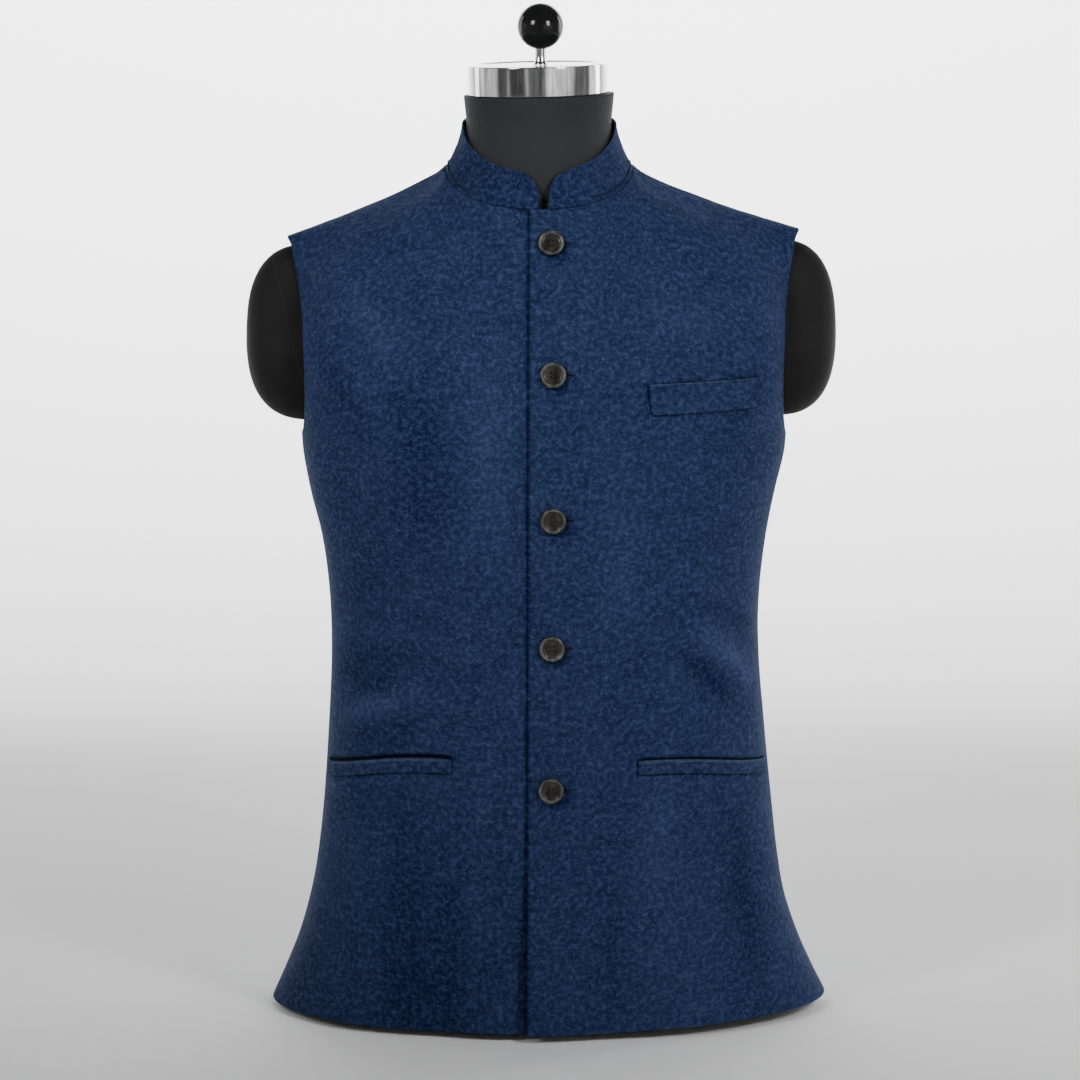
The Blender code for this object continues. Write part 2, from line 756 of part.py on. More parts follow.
def neck_ring(start, height, radius):
    """Ring of the form's neck over a ring on its shoulders. The top leans with the cap."""
    ring = []
    for point in start:
        angle = math.atan2(point.y - NECK_CENTRE_Y, point.x - NECK_CENTRE_X)
        x = NECK_CENTRE_X + radius * math.cos(angle)
        tilt = math.tan(BAND_TILT) * (x - NECK_CENTRE_X) if height == NECK_TOP else 0.0
        ring.append(Vector((x, NECK_CENTRE_Y + radius * math.sin(angle), height + tilt)))
    return ring


def bridge(faces, low, high):
    """Faces between two closed rings of vertex numbers, which may share vertices."""
    for j in range(len(low)):
        k = (j + 1) % len(low)
        corners = (low[j], low[k], high[k], high[j])
        faces.append(tuple(dict.fromkeys(corners)))


def build_form(finish, parent):
    """Body of the dress form: flat foot, chest, shoulders and neck in one closed skin."""
    steps = NECK_STEPS
    half = [-1 + (1 - NECK_SHARE) * i / SHOULDER_STEPS for i in range(SHOULDER_STEPS)]
    half += [-NECK_SHARE * (1 - i / steps) for i in range(steps)]
    columns = half + [0.0] + [-column for column in reversed(half)]
    around = [("front", column) for column in columns]
    around += [("back", column) for column in reversed(columns)]
    rings = form_rings(around)
    count = len(around)
    vertices = [point for ring in rings for point in ring]
    top = len(vertices) - count
    partner = {}
    for j in range(count // 2):
        mate = count - 1 - j
        if abs(around[j][1]) >= NECK_SHARE - 0.001:
            vertices[top + j] = (vertices[top + j] + vertices[top + mate]) / 2
            partner[top + mate] = top + j
    faces = [tuple(reversed(range(count)))]
    for i in range(len(rings) - 1):
        bridge(
            faces,
            [i * count + j for j in range(count)],
            [(partner.get((i + 1) * count + j, (i + 1) * count + j)) for j in range(count)],
        )
    opening = range(SHOULDER_STEPS, SHOULDER_STEPS + 2 * steps + 1)
    below = [top + j for j in opening]
    below += [top + count - 1 - j for j in reversed(opening)][1:-1]
    first = []
    for index in below:
        face, column = around[index - top]
        angle = column / NECK_SHARE * math.pi / 2
        if face == "back":
            angle = wrap(math.pi - angle)
        first.append(neck_point(angle, inset=NECK_INSET))
    rings_above = [first] + [neck_ring(first, height, radius) for height, radius in NECK_ROWS]
    for ring in rings_above:
        above = list(range(len(vertices), len(vertices) + len(ring)))
        vertices += ring
        bridge(faces, below, above)
        below = above
    faces.append(tuple(below))
    used = sorted({index for face in faces for index in face})
    number = {old: new for new, old in enumerate(used)}
    faces = [tuple(number[index] for index in face) for face in faces]
    mesh = mesh_from("form_torso", [vertices[index] for index in used], faces)
    add_object("form_torso", mesh, finish, parent)


def build_arm(name, side, finish, parent):
    """Short rounded arm piece that fills the armhole and stands out of it."""
    vertices = []
    rings = []
    end = ARM_REACH_LEFT if side > 0 else ARM_REACH_RIGHT
    centre = ARM_CENTRE_HEIGHT_LEFT if side > 0 else ARM_CENTRE_HEIGHT_RIGHT
    reach = end - ARM_ROOT
    for i in range(ARM_RINGS + 1):
        turn = math.pi / 2 * i / ARM_RINGS
        out = math.sin(turn) ** (2 / ARM_SQUARENESS) if i else 0.0
        size = max(math.cos(turn), 0.0) ** (2 / ARM_SQUARENESS)
        if i == ARM_RINGS:
            rings.append([len(vertices)])
            vertices.append((side * end, ARM_CENTRE_DEPTH, centre))
            continue
        rings.append(range(len(vertices), len(vertices) + ARM_SIDES))
        for j in range(ARM_SIDES):
            angle = 2 * math.pi * j / ARM_SIDES
            up = ARM_HALF_HEIGHT * size * math.cos(angle)
            x = ARM_ROOT + reach * out * (1.0 + ARM_TAPER * up / ARM_HALF_HEIGHT)
            narrowing = smooth((up / ARM_HALF_HEIGHT + 0.25) / 0.75)
            depth = ARM_HALF_DEPTH + (ARM_HALF_DEPTH_TOP - ARM_HALF_DEPTH) * narrowing
            y = ARM_CENTRE_DEPTH * (1.0 - narrowing) + depth * size * math.sin(angle)
            vertices.append((side * x, y, centre + up))
    faces = [tuple(rings[0])]
    for low, high in zip(rings, rings[1:]):
        for j in range(ARM_SIDES):
            k = (j + 1) % ARM_SIDES
            if len(high) == 1:
                faces.append((low[k], low[j], high[0]))
            else:
                faces.append((low[k], low[j], high[j], high[k]))
    add_object(name, mesh_from(name, vertices, faces), finish, parent)


def build_cap(chrome, gloss, parent):
    """Chrome cap that leans a little with the neck's top, with an upright spindle and ball."""
    top = BAND_HEIGHT - BAND_EDGE
    band = (
        (0.0, 0.0),
        (BAND_RADIUS - BAND_EDGE, 0.0),
        (BAND_RADIUS, BAND_EDGE),
        (BAND_RADIUS, top),
        (BAND_RADIUS - BAND_EDGE, BAND_HEIGHT),
        (BAND_RADIUS - BAND_EDGE - BAND_LIP, BAND_HEIGHT),
        (BAND_RADIUS - 2 * BAND_EDGE - BAND_LIP, top),
        (0.0, top),
    )
    made = add_object("neck_band", turned_mesh("neck_band", band, BAND_SIDES), chrome, parent)
    made.location = (NECK_CENTRE_X - CAP_SHIFT, NECK_CENTRE_Y, NECK_TOP + CAP_GAP)
    made.rotation_euler = (0.0, -BAND_TILT, 0.0)
    foot = NECK_TOP + top + 2 * CAP_GAP
    spindle = [(0.0, 0.0)]
    for step in range(7):
        share = step / 6
        waist = math.sin(math.pi * share) ** 2
        radius = SPINDLE_RADIUS + (SPINDLE_WAIST - SPINDLE_RADIUS) * waist
        spindle.append((radius, SPINDLE_HEIGHT * share))
    spindle.append((0.0, SPINDLE_HEIGHT))
    made = add_object("spindle", turned_mesh("spindle", spindle, 20), chrome, parent)
    made.location = (NECK_CENTRE_X + SPINDLE_OFFSET, NECK_CENTRE_Y, foot)
    ball = [(0.0, -BALL_RADIUS)]
    for step in range(1, 12):
        turn = math.pi * step / 12
        ball.append((BALL_RADIUS * math.sin(turn), -BALL_RADIUS * math.cos(turn)))
    ball.append((0.0, BALL_RADIUS))
    made = add_object("finial_ball", turned_mesh("finial_ball", ball, 24), gloss, parent)
    height = foot + SPINDLE_HEIGHT + CAP_GAP + BALL_RADIUS
    made.location = (NECK_CENTRE_X + SPINDLE_OFFSET, NECK_CENTRE_Y, height)


def main():
    """Clear the scene and build every piece."""
    for old in list(bpy.data.objects):
        bpy.data.objects.remove(old, do_unlink=True)
    wool = material("navy_wool", NAVY, 0.88)
    horn = material("dark_horn", HORN, 0.38)
    jersey = material("black_jersey", JERSEY, 0.75)
    chrome = material("bright_chrome", CHROME, 0.14, 1.0)
    gloss = material("black_gloss", BLACK_GLOSS, 0.22)
    frame = bpy.data.objects.new("jacket_on_form", None)
    bpy.context.scene.collection.objects.link(frame)
    for name, side in (("front_right", -1), ("front_left", 1)):
        outer, inner = front_rows(side)
        add_object(name, wall_mesh(name, outer, inner), wool, frame)
    outer, inner = back_rows()
    add_object("back", wall_mesh("back", outer, inner), wool, frame)
    build_collar(wool, frame)
    for row in WELTS:
        build_welt(row, wool, frame)
    build_buttons(horn, frame)
    build_form(jersey, frame)
    build_arm("arm_cap_right", -1, jersey, frame)
    build_arm("arm_cap_left", 1, jersey, frame)
    build_cap(chrome, gloss, frame)
    bpy.context.view_layer.update()


main()
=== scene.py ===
import math
from collections import namedtuple

import bmesh
import bpy
import numpy as np
from mathutils import Matrix, Vector


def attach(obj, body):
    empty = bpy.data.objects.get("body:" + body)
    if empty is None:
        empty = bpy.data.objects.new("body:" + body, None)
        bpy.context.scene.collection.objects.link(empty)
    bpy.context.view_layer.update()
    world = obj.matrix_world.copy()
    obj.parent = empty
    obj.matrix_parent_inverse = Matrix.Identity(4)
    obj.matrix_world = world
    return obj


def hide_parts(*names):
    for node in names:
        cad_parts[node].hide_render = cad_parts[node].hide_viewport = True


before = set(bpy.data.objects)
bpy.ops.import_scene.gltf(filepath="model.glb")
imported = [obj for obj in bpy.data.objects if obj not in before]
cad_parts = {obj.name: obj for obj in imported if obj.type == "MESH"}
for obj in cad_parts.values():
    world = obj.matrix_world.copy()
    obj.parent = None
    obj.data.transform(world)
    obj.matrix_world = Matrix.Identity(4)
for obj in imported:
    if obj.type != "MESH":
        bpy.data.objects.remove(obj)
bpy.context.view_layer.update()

# Cloth
WALL = 0.002
COLLAR_WALL = 0.0022
SEAM_TRIM = 0.0007
SHOULDER_TRIM = 0.0012
LAYER_GAP = 0.0004

# Heights
HEM_HEIGHT = 0.0060
HEM_SIDE_RISE = 0.0035
HEM_RIGHT_DROP = 0.0010
UNDERARM_HEIGHT = 0.486
FRONT_NECK_HEIGHT = 0.675
SIDE_NECK_HEIGHT = 0.7034
BACK_NECK_HEIGHT = 0.7078

# Columns: height, reach to the right, left, front and back, squareness
SECTIONS = np.array((
    (0.004, 0.2295, 0.2400, 0.1280, 0.1200, 1.95),
    (0.030, 0.2180, 0.2268, 0.1260, 0.1150, 2.05),
    (0.060, 0.2060, 0.2135, 0.1235, 0.1095, 2.18),
    (0.095, 0.1961, 0.2020, 0.1205, 0.1040, 2.30),
    (0.130, 0.1895, 0.1958, 0.1180, 0.0995, 2.35),
    (0.180, 0.1838, 0.1900, 0.1150, 0.0940, 2.40),
    (0.240, 0.1795, 0.1840, 0.1130, 0.0890, 2.45),
    (0.300, 0.1768, 0.1788, 0.1125, 0.0860, 2.45),
    (0.350, 0.1778, 0.1786, 0.1140, 0.0870, 2.45),
    (0.400, 0.1836, 0.1836, 0.1175, 0.0920, 2.45),
    (0.440, 0.1930, 0.1910, 0.1205, 0.0970, 2.50),
    (0.470, 0.1985, 0.1980, 0.1220, 0.1005, 2.50),
    (0.486, 0.1998, 0.1996, 0.1225, 0.1020, 2.50),
    (0.540, 0.2050, 0.2050, 0.1215, 0.1060, 2.50),
))

# Neckline and shoulder seams
NECK_SHIFT = -0.0040
NECK_HALF_WIDTH = 0.0765
NECK_FRONT_DEPTH = 0.067
NECK_BACK_DEPTH = 0.070
NECK_SQUARENESS = 2.1
NECK_DIP_POWER = 1.25
SHOULDER_RIGHT = (0.2108, 0.0563, 0.82)
SHOULDER_LEFT = (0.2094, 0.0503, 0.79)
NECK_SHARE = 0.42

# How the body surface rises from the underarm level to the top edges
RISE_START = 1.05
FRONT_RISE_END = 0.72
BACK_RISE_END = 0.75
FRONT_NECK_LEAN = 0.42
BACK_NECK_LEAN = 0.30
CHEST_SQUARENESS = 2.5
SHOULDER_SQUARENESS = 4.4
COLUMN_EASE = 0.09
SQUARING_LOW = 0.42
SQUARING_HIGH = 0.28
FRONT_SEAM_TILT = 0.34
BACK_SEAM_TILT = 0.18

# Armholes
ARMHOLE_FRONT_INSET = 0.0098
ARMHOLE_BACK_INSET = 0.0085
ARMHOLE_FULLNESS = 0.85
ARMHOLE_SKEW = 0.78
ARMHOLE_TIP = 0.78
ARMHOLE_TIP_RUN = 0.22
ARMHOLE_TIP_EASE = 0.6

# Front closing
LAP_EDGE = -0.014
LAP_LEAN = 0.0030
UNDER_EDGE = 0.020
LAP_RAMP = 0.013
LAP_RAMP_END = -0.0175
STAND_OFF = 0.0065
UNDER_RECESS = 0.002
STAND_OFF_TOP = 0.205
STAND_OFF_WIDTH = 0.070

# Largest folds, as in the solids
# Columns: face, x and z of one end, x and z of the other end, half width, rise
FOLDS = (
    ("front", -0.108, 0.284, -0.150, 0.256, 0.012, 0.0036),
    ("front", -0.118, 0.316, -0.155, 0.296, 0.016, -0.0030),
    ("front", 0.126, 0.334, 0.160, 0.294, 0.012, 0.0036),
    ("front", 0.142, 0.350, 0.165, 0.326, 0.013, -0.0028),
    ("front", -0.060, 0.150, -0.085, 0.010, 0.030, -0.0030),
    ("front", -0.135, 0.140, -0.165, 0.010, 0.028, 0.0030),
    ("front", 0.095, 0.130, 0.120, 0.010, 0.034, 0.0026),
    ("back", -0.070, 0.345, -0.165, 0.318, 0.015, 0.0032),
    ("back", -0.060, 0.300, -0.160, 0.288, 0.016, -0.0032),
    ("back", 0.075, 0.338, 0.168, 0.306, 0.015, 0.0032),
    ("back", 0.058, 0.306, 0.158, 0.276, 0.017, -0.0028),
    ("back", -0.075, 0.170, -0.105, 0.010, 0.032, 0.0050),
    ("back", 0.000, 0.150, 0.008, 0.010, 0.036, -0.0040),
    ("back", 0.080, 0.180, 0.112, 0.010, 0.030, 0.0050),
)

# Soft creases, each along a bent line
# Columns: face, x and z of the start, the bend and the end, half width, rise
CREASES = (
    ("front", -0.118, 0.278, -0.128, 0.268, -0.149, 0.262, 0.0048, 0.0016),
    ("front", -0.106, 0.272, -0.118, 0.252, -0.122, 0.236, 0.0070, -0.0012),
    ("front", -0.112, 0.300, -0.132, 0.286, -0.152, 0.286, 0.0080, -0.0010),
    ("front", 0.130, 0.326, 0.148, 0.312, 0.164, 0.284, 0.0050, 0.0016),
    ("front", 0.118, 0.318, 0.138, 0.298, 0.152, 0.270, 0.0075, -0.0012),
    ("front", -0.164, 0.612, -0.140, 0.588, -0.108, 0.548, 0.0120, 0.0011),
    ("front", -0.176, 0.560, -0.158, 0.530, -0.150, 0.492, 0.0090, -0.0009),
    ("front", -0.046, 0.552, -0.041, 0.480, -0.044, 0.400, 0.0190, 0.0012),
    ("front", -0.100, 0.540, -0.096, 0.470, -0.102, 0.400, 0.0240, -0.0012),
    ("front", -0.112, 0.296, -0.128, 0.276, -0.158, 0.262, 0.0050, 0.0008),
    ("front", -0.120, 0.262, -0.138, 0.248, -0.160, 0.243, 0.0065, -0.0010),
    ("front", -0.092, 0.330, -0.120, 0.334, -0.160, 0.322, 0.0085, 0.0010),
    ("front", -0.130, 0.372, -0.150, 0.364, -0.168, 0.350, 0.0060, -0.0008),
    ("front", -0.052, 0.226, -0.060, 0.120, -0.054, 0.020, 0.0130, 0.0009),
    ("front", -0.112, 0.190, -0.122, 0.110, -0.118, 0.020, 0.0160, -0.0012),
    ("front", 0.132, 0.330, 0.148, 0.318, 0.163, 0.290, 0.0046, 0.0009),
    ("front", 0.104, 0.318, 0.128, 0.300, 0.148, 0.276, 0.0075, -0.0010),
    ("front", 0.120, 0.372, 0.146, 0.366, 0.166, 0.346, 0.0070, 0.0009),
    ("front", 0.084, 0.292, 0.112, 0.276, 0.140, 0.262, 0.0060, 0.0006),
    ("front", 0.172, 0.548, 0.158, 0.516, 0.148, 0.482, 0.0085, -0.0009),
    ("front", 0.160, 0.590, 0.130, 0.584, 0.092, 0.590, 0.0140, 0.0008),
    ("front", 0.060, 0.470, 0.066, 0.400, 0.058, 0.330, 0.0200, 0.0009),
    ("front", 0.092, 0.214, 0.099, 0.180, 0.088, 0.120, 0.0140, 0.0010),
    ("front", 0.148, 0.190, 0.166, 0.110, 0.176, 0.030, 0.0150, -0.0014),
    ("front", 0.052, 0.180, 0.058, 0.100, 0.052, 0.020, 0.0120, -0.0007),
    ("front", -0.1190, 0.2770, -0.1240, 0.2710, -0.1320, 0.2640, 0.0032, 0.0015),
    ("front", -0.1340, 0.2740, -0.1420, 0.2700, -0.1500, 0.2680, 0.0060, 0.0010),
    ("front", 0.1280, 0.3210, 0.1390, 0.3130, 0.1500, 0.3030, 0.0032, 0.0014),
    ("back", -0.172, 0.560, -0.120, 0.580, -0.060, 0.572, 0.0130, 0.0012),
    ("back", 0.174, 0.566, 0.128, 0.590, 0.070, 0.584, 0.0120, 0.0010),
    ("back", -0.168, 0.512, -0.130, 0.486, -0.092, 0.470, 0.0100, -0.0012),
    ("back", 0.166, 0.520, 0.134, 0.494, 0.100, 0.482, 0.0090, -0.0010),
    ("back", -0.160, 0.372, -0.110, 0.366, -0.040, 0.378, 0.0090, 0.0013),
    ("back", 0.158, 0.360, 0.104, 0.356, 0.046, 0.362, 0.0080, -0.0012),
    ("back", -0.152, 0.262, -0.100, 0.270, -0.050, 0.262, 0.0085, 0.0012),
    ("back", 0.154, 0.252, 0.108, 0.258, 0.060, 0.250, 0.0080, 0.0011),
    ("back", 0.010, 0.470, 0.004, 0.400, 0.008, 0.330, 0.0160, 0.0009),
    ("back", -0.128, 0.200, -0.146, 0.120, -0.150, 0.020, 0.0150, -0.0014),
    ("back", 0.138, 0.190, 0.156, 0.110, 0.160, 0.020, 0.0140, -0.0013),
)

# Collar
COLLAR_LIFT = -0.0008
COLLAR_PROUD = 0.0006
COLLAR_END_GAP_RIGHT = 0.0045
COLLAR_END_GAP_LEFT = 0.0040
COLLAR_HEIGHT_FRONT = 0.030
COLLAR_HEIGHT_BACK = 0.0385
COLLAR_END_HEIGHT = 0.010
COLLAR_CORNER = 0.019
COLLAR_LEAN_POWER = 1.8
COLLAR_LEAN_SIDE = 0.0141
COLLAR_LEAN_FRONT = 0.006
COLLAR_LEAN_BACK = 0.004

# Columns: x and z of the middle, seen from the front
BUTTONS = (
    (0.0056, 0.6477),
    (0.0072, 0.5459),
    (0.0072, 0.4297),
    (0.0064, 0.3242),
    (0.0056, 0.2072),
)
BUTTON_RADIUS = 0.01075
BUTTON_THICKNESS = 0.0040
BUTTON_TURNS = (8, -5, 14, 3, -11)
HOLE_PLACE = 0.0017
HOLE_RADIUS = 0.00085
THREAD_SHIFT = 0.00028
BUTTONHOLE_REACH = 0.0160

# Ends of a welt's top edge, its height and slant, the upward bow of its middle, and the
# height of the open mouth above it
Welt = namedtuple("Welt", "name x_inner z_inner x_outer z_outer height slant bow mouth")
WELTS = (
    Welt("chest_welt", 0.0832, 0.5382, 0.1706, 0.5412, 0.0245, 0.0026, 0.0, 0.0006),
    Welt("hip_welt_right", -0.0750, 0.2315, -0.1768, 0.2151, 0.0118, 0.0, 0.0054, 0.0030),
    Welt("hip_welt_left", 0.0765, 0.2302, 0.1822, 0.2172, 0.0115, 0.0, 0.0044, 0.0013),
)
WELT_THICKNESS = 0.0018

# Dress form's cap
NECK_TOP = 0.7645
NECK_CENTRE_X = -0.0042
NECK_CENTRE_Y = 0.003
CAP_GAP = 0.0003
CAP_DROP = 0.0020
CAP_SHIFT = 0.0010
BAND_RADIUS = 0.0570
BAND_HEIGHT = 0.0243
BAND_TILT = math.radians(1.2)
SPINDLE_OFFSET = 0.0012
SPINDLE_HEIGHT = 0.0136
BALL_RADIUS = 0.0189

# Seams round the arm pieces: x and z of the upper and the lower end, seen from the front
ARM_SEAMS = {
    "right": ((-0.2236, 0.6365), (-0.1998, 0.5460)),
    "left": ((0.2051, 0.6485), (0.1916, 0.5258)),
}

# Studio screen behind the camera: azimuth from the front to the wearer's left, brightness
SCREEN_DISTANCE = 3.9
SCREEN_HEIGHT = 1.5
SCREEN = (
    (-165, 0.4), (-140, 0.3), (-132, 1.3), (-103, 1.4), (-97, 0.7), (-90, 1.2), (-72, 1.0),
    (-66, 0.1), (-53, 0.15), (-49, 0.6), (-45, 0.1), (-22, 0.12), (-17, 0.8), (-12, 0.25),
    (3, 0.15), (12, 0.3), (17, 1.4), (60, 1.2), (66, 0.2), (92, 0.2), (100, 2.0), (150, 3.0),
)

# Lamps. Columns: name, place, aim, size, power, spread in degrees
LIGHTS = (
    ("key", (1.05, -1.25, 1.25), (0.04, 0.0, 0.50), (0.4, 0.6), 3.6, 80.0),
    ("fill", (-1.00, -1.20, 1.30), (-0.02, 0.0, 0.56), (0.4, 0.5), 1.15, 44.0),
    ("rim_left", (1.7, 0.9, 0.9), (0.1, 0.0, 0.5), (0.4, 1.5), 5.0, 120.0),
    ("rim_right", (-1.7, 0.9, 0.9), (-0.1, 0.0, 0.5), (0.4, 1.5), 2.8, 120.0),
    ("back_wall", (0.0, 1.3, 2.6), (0.0, 2.6, 0.9), (4.0, 0.6), 150.0, 90.0),
)

# Seam allowances of the cut
PANEL_ALLOWANCE = 0.010
TRIM_ALLOWANCE = 0.006

# Painted light and shade on the cloth: where it fades, the relief at which it is full, the painted
# shadow by a button, the painted shade along the lap's edge
SIDE_FADE = 0.10
PAINT_FULL_HEIGHT = 0.0020
BUTTON_SHADE_LEFT = 0.0042
BUTTON_SHADE_DOWN = 0.0060
BUTTON_SHADE_RADIUS = 0.0105
LAP_SHADOW_SHIFT = 0.0004
LAP_SHADOW_WIDTH = 0.0036

# Searching for places on the body surface
SEARCH_STEPS = 26
PLACE_STEPS = 16
PLACE_STEP = 0.0005
LONGEST_STEP = 0.1
NORMAL_STEP = 0.003
WIDEST_COLUMN = 0.98
GUESSED_WIDTH = 0.21
GUESSED_TOP = 0.70
GUESSED_SLOPE = 0.2

# Fineness of the shells
FRONT_COLUMNS = (52, 54)
BACK_COLUMNS = (46, 50)
COLLAR_ROWS = 22
COLLAR_COLUMNS = 190
WELT_ROWS = 12
MERGE_DISTANCE = 0.00001
LOWER_ROWS = 118
UPPER_ROWS = 72
POCKET_ROWS = 60
POCKET_LEVELS = (0.428, 0.494)
CREASED_ROWS = 68
CREASED_LEVEL = 0.72
EDGE_STEPS = (0.00012, 0.0004, 0.0009, 0.0020)
EDGE_SHARES = (0.12, 0.28, 0.48, 0.70)


# The body surface

def smooth(value):
    """Rise from 0 to 1 with flat ends."""
    value = np.clip(value, 0.0, 1.0)
    return value * value * (3.0 - 2.0 * value)


def unit(vectors):
    """Vectors of length 1."""
    return vectors / np.maximum(np.linalg.norm(vectors, axis=-1, keepdims=True), 1e-12)


def section(height):
    """Values of the section table, smooth between its rows, for an array of heights."""
    last = len(SECTIONS) - 1
    index = np.clip(np.searchsorted(SECTIONS[:, 0], height) - 1, 0, last - 1)
    start = SECTIONS[index]
    end = SECTIONS[index + 1]
    before = SECTIONS[np.maximum(index - 1, 0)]
    after = SECTIONS[np.minimum(index + 2, last)]
    span = end[:, :1] - start[:, :1]
    t = np.clip((height[:, None] - start[:, :1]) / span, 0.0, 1.0)
    slope_start = (end - before) / (end[:, :1] - before[:, :1]) * span
    slope_end = (after - start) / (after[:, :1] - start[:, :1]) * span
    values = (2 * t**3 - 3 * t**2 + 1) * start + (t**3 - 2 * t**2 + t) * slope_start
    values += (3 * t**2 - 2 * t**3) * end + (t**3 - t**2) * slope_end
    return values[:, 1:].T


def oval(angle, right, left, front, back, squareness):
    """Points of a squared oval. The angle runs from the front to the wearer's left."""
    across = np.sin(angle)
    ahead = np.cos(angle)
    half_width = np.where(across > 0, left, right)
    depth = np.where(ahead > 0, front, back)
    reach = (np.abs(across) / half_width) ** squareness + (np.abs(ahead) / depth) ** squareness
    radius = reach ** (-1.0 / squareness)
    return radius * across, -radius * ahead


def ring_point(face, column, height):
    """Points of the body below the underarm."""
    angle = column * math.pi / 2
    if face == "back":
        angle = math.pi - angle
    x, y = oval(angle, *section(height))
    return np.stack((x, y, height), axis=-1)


def neck_height(angle):
    """Height of the neckline at angles from the front."""
    turn = np.abs(angle)
    dip = np.maximum(1.0 - np.cos(turn), 0.0) ** NECK_DIP_POWER
    ahead = FRONT_NECK_HEIGHT + (SIDE_NECK_HEIGHT - FRONT_NECK_HEIGHT) * dip
    rise = np.sin(turn - math.pi / 2)
    behind = SIDE_NECK_HEIGHT + (BACK_NECK_HEIGHT - SIDE_NECK_HEIGHT) * rise
    return np.where(turn <= math.pi / 2, ahead, behind)


def neck_point(angle, inset=0.0):
    """Points of the neckline at angles from the front."""
    x, y = oval(
        angle,
        NECK_HALF_WIDTH - inset,
        NECK_HALF_WIDTH - inset,
        NECK_FRONT_DEPTH - inset,
        NECK_BACK_DEPTH - inset,
        NECK_SQUARENESS,
    )
    return np.stack((x + NECK_SHIFT, y, neck_height(angle)), axis=-1)


def top_point(face, column):
    """Upper ends of the columns: on the neckline, or on a shoulder seam."""
    side = np.where(column > 0, 1.0, -1.0)
    share = np.abs(column)
    angle = side * np.minimum(share / NECK_SHARE, 1.0) * math.pi / 2
    if face == "back":
        angle = np.where(angle >= 0, math.pi - angle, -math.pi - angle)
    neck = neck_point(angle)
    along = np.clip((share - NECK_SHARE) / (1.0 - NECK_SHARE), 0.0, 1.2)
    tip, drop, power = (
        np.where(column > 0, left, right) for left, right in zip(SHOULDER_LEFT, SHOULDER_RIGHT)
    )
    start = NECK_SHIFT + side * NECK_HALF_WIDTH
    x = start + (side * tip - start) * along
    shoulder = np.stack((x, 0.0 * x, SIDE_NECK_HEIGHT - drop * along**power), axis=-1)
    return np.where((share >= NECK_SHARE)[:, None], shoulder, neck)


def top_direction(face, column):
    """Directions in which the columns reach the top edge."""
    over = 1.0 if face == "front" else -1.0
    lean = FRONT_NECK_LEAN if face == "front" else BACK_NECK_LEAN
    turn = np.minimum(np.abs(column) / NECK_SHARE, 1.0) * math.pi / 2
    at_neck = unit(np.array((0.0, over * lean, 1.0)))
    most = FRONT_SEAM_TILT if face == "front" else BACK_SEAM_TILT
    tilt = most * (1.0 - smooth((np.abs(column) - NECK_SHARE) / (1.0 - NECK_SHARE)))
    at_shoulder = unit(np.stack((0.0 * tilt, over + 0.0 * tilt, over * tilt), axis=-1))
    share = (np.sin(turn) ** (2 if face == "front" else 3))[:, None]
    return unit(at_neck * (1.0 - share) + at_shoulder * share)


def rising_point(face, column, t):
    """Points of columns between the underarm level at 0 and the top edge at 1."""
    level = np.full_like(column, UNDERARM_HEIGHT)
    start = ring_point(face, column, level)
    above = ring_point(face, column, level + 0.01)
    end = top_point(face, column)
    length = np.linalg.norm(end - start, axis=-1, keepdims=True)
    ending = FRONT_RISE_END if face == "front" else BACK_RISE_END
    leave = unit(above - start) * length * RISE_START
    arrive = top_direction(face, column) * length * ending
    t = t[:, None]
    low = start * (2 * t**3 - 3 * t**2 + 1) + leave * (t**3 - 2 * t**2 + t)
    return low + end * (3 * t**2 - 2 * t**3) + arrive * (t**3 - t**2)


def squared_point(face, column, t):
    """Rising points evened out with their neighbours and squared under the shoulders."""
    reach = COLUMN_EASE * np.sin(math.pi * t) * (1.0 - np.abs(column))
    point = np.zeros((len(column), 3))
    for step, weight in ((-2, 1), (-1, 4), (0, 6), (1, 4), (2, 1)):
        point += rising_point(face, column + reach * step, t) * (weight / 16)
    side = rising_point(face, np.where(column > 0, 1.0, -1.0), t)
    middle = rising_point(face, 0.0 * column, t)
    across = np.abs(point[:, 0] / side[:, 0])
    ahead = np.abs(point[:, 1] / middle[:, 1])
    chest = (across**CHEST_SQUARENESS + ahead**CHEST_SQUARENESS) ** (1 / CHEST_SQUARENESS)
    squarer = across**SHOULDER_SQUARENESS + ahead**SHOULDER_SQUARENESS
    shoulder = squarer ** (1 / SHOULDER_SQUARENESS)
    spread = smooth(t / SQUARING_LOW) * smooth((1.0 - t) / SQUARING_HIGH)
    push = 1.0 + (chest / shoulder - 1.0) * spread
    point[:, :2] *= push[:, None]
    return point


def plain_point(face, column, level):
    """Body surface without folds: level 0 is the hem, 1 the underarm, 2 the top edge."""
    column, level = np.broadcast_arrays(np.asarray(column, float), np.asarray(level, float))
    shape = column.shape
    column = column.ravel()
    level = level.ravel()
    rise = np.where(column > 0, HEM_SIDE_RISE, -HEM_RIGHT_DROP)
    hem = HEM_HEIGHT + rise * np.sin(column * math.pi / 2) ** 2
    height = hem + (UNDERARM_HEIGHT - hem) * np.minimum(level, 1.0)
    points = ring_point(face, column, height)
    above = level > 1.0
    if above.any():
        points[above] = squared_point(face, column[above], np.minimum(level[above] - 1.0, 1.0))
    return points.reshape(shape + (3,))


def bell(distance, half_width):
    """Soft ridge of height 1 at distance 0."""
    return np.exp(-((distance / half_width) ** 2))


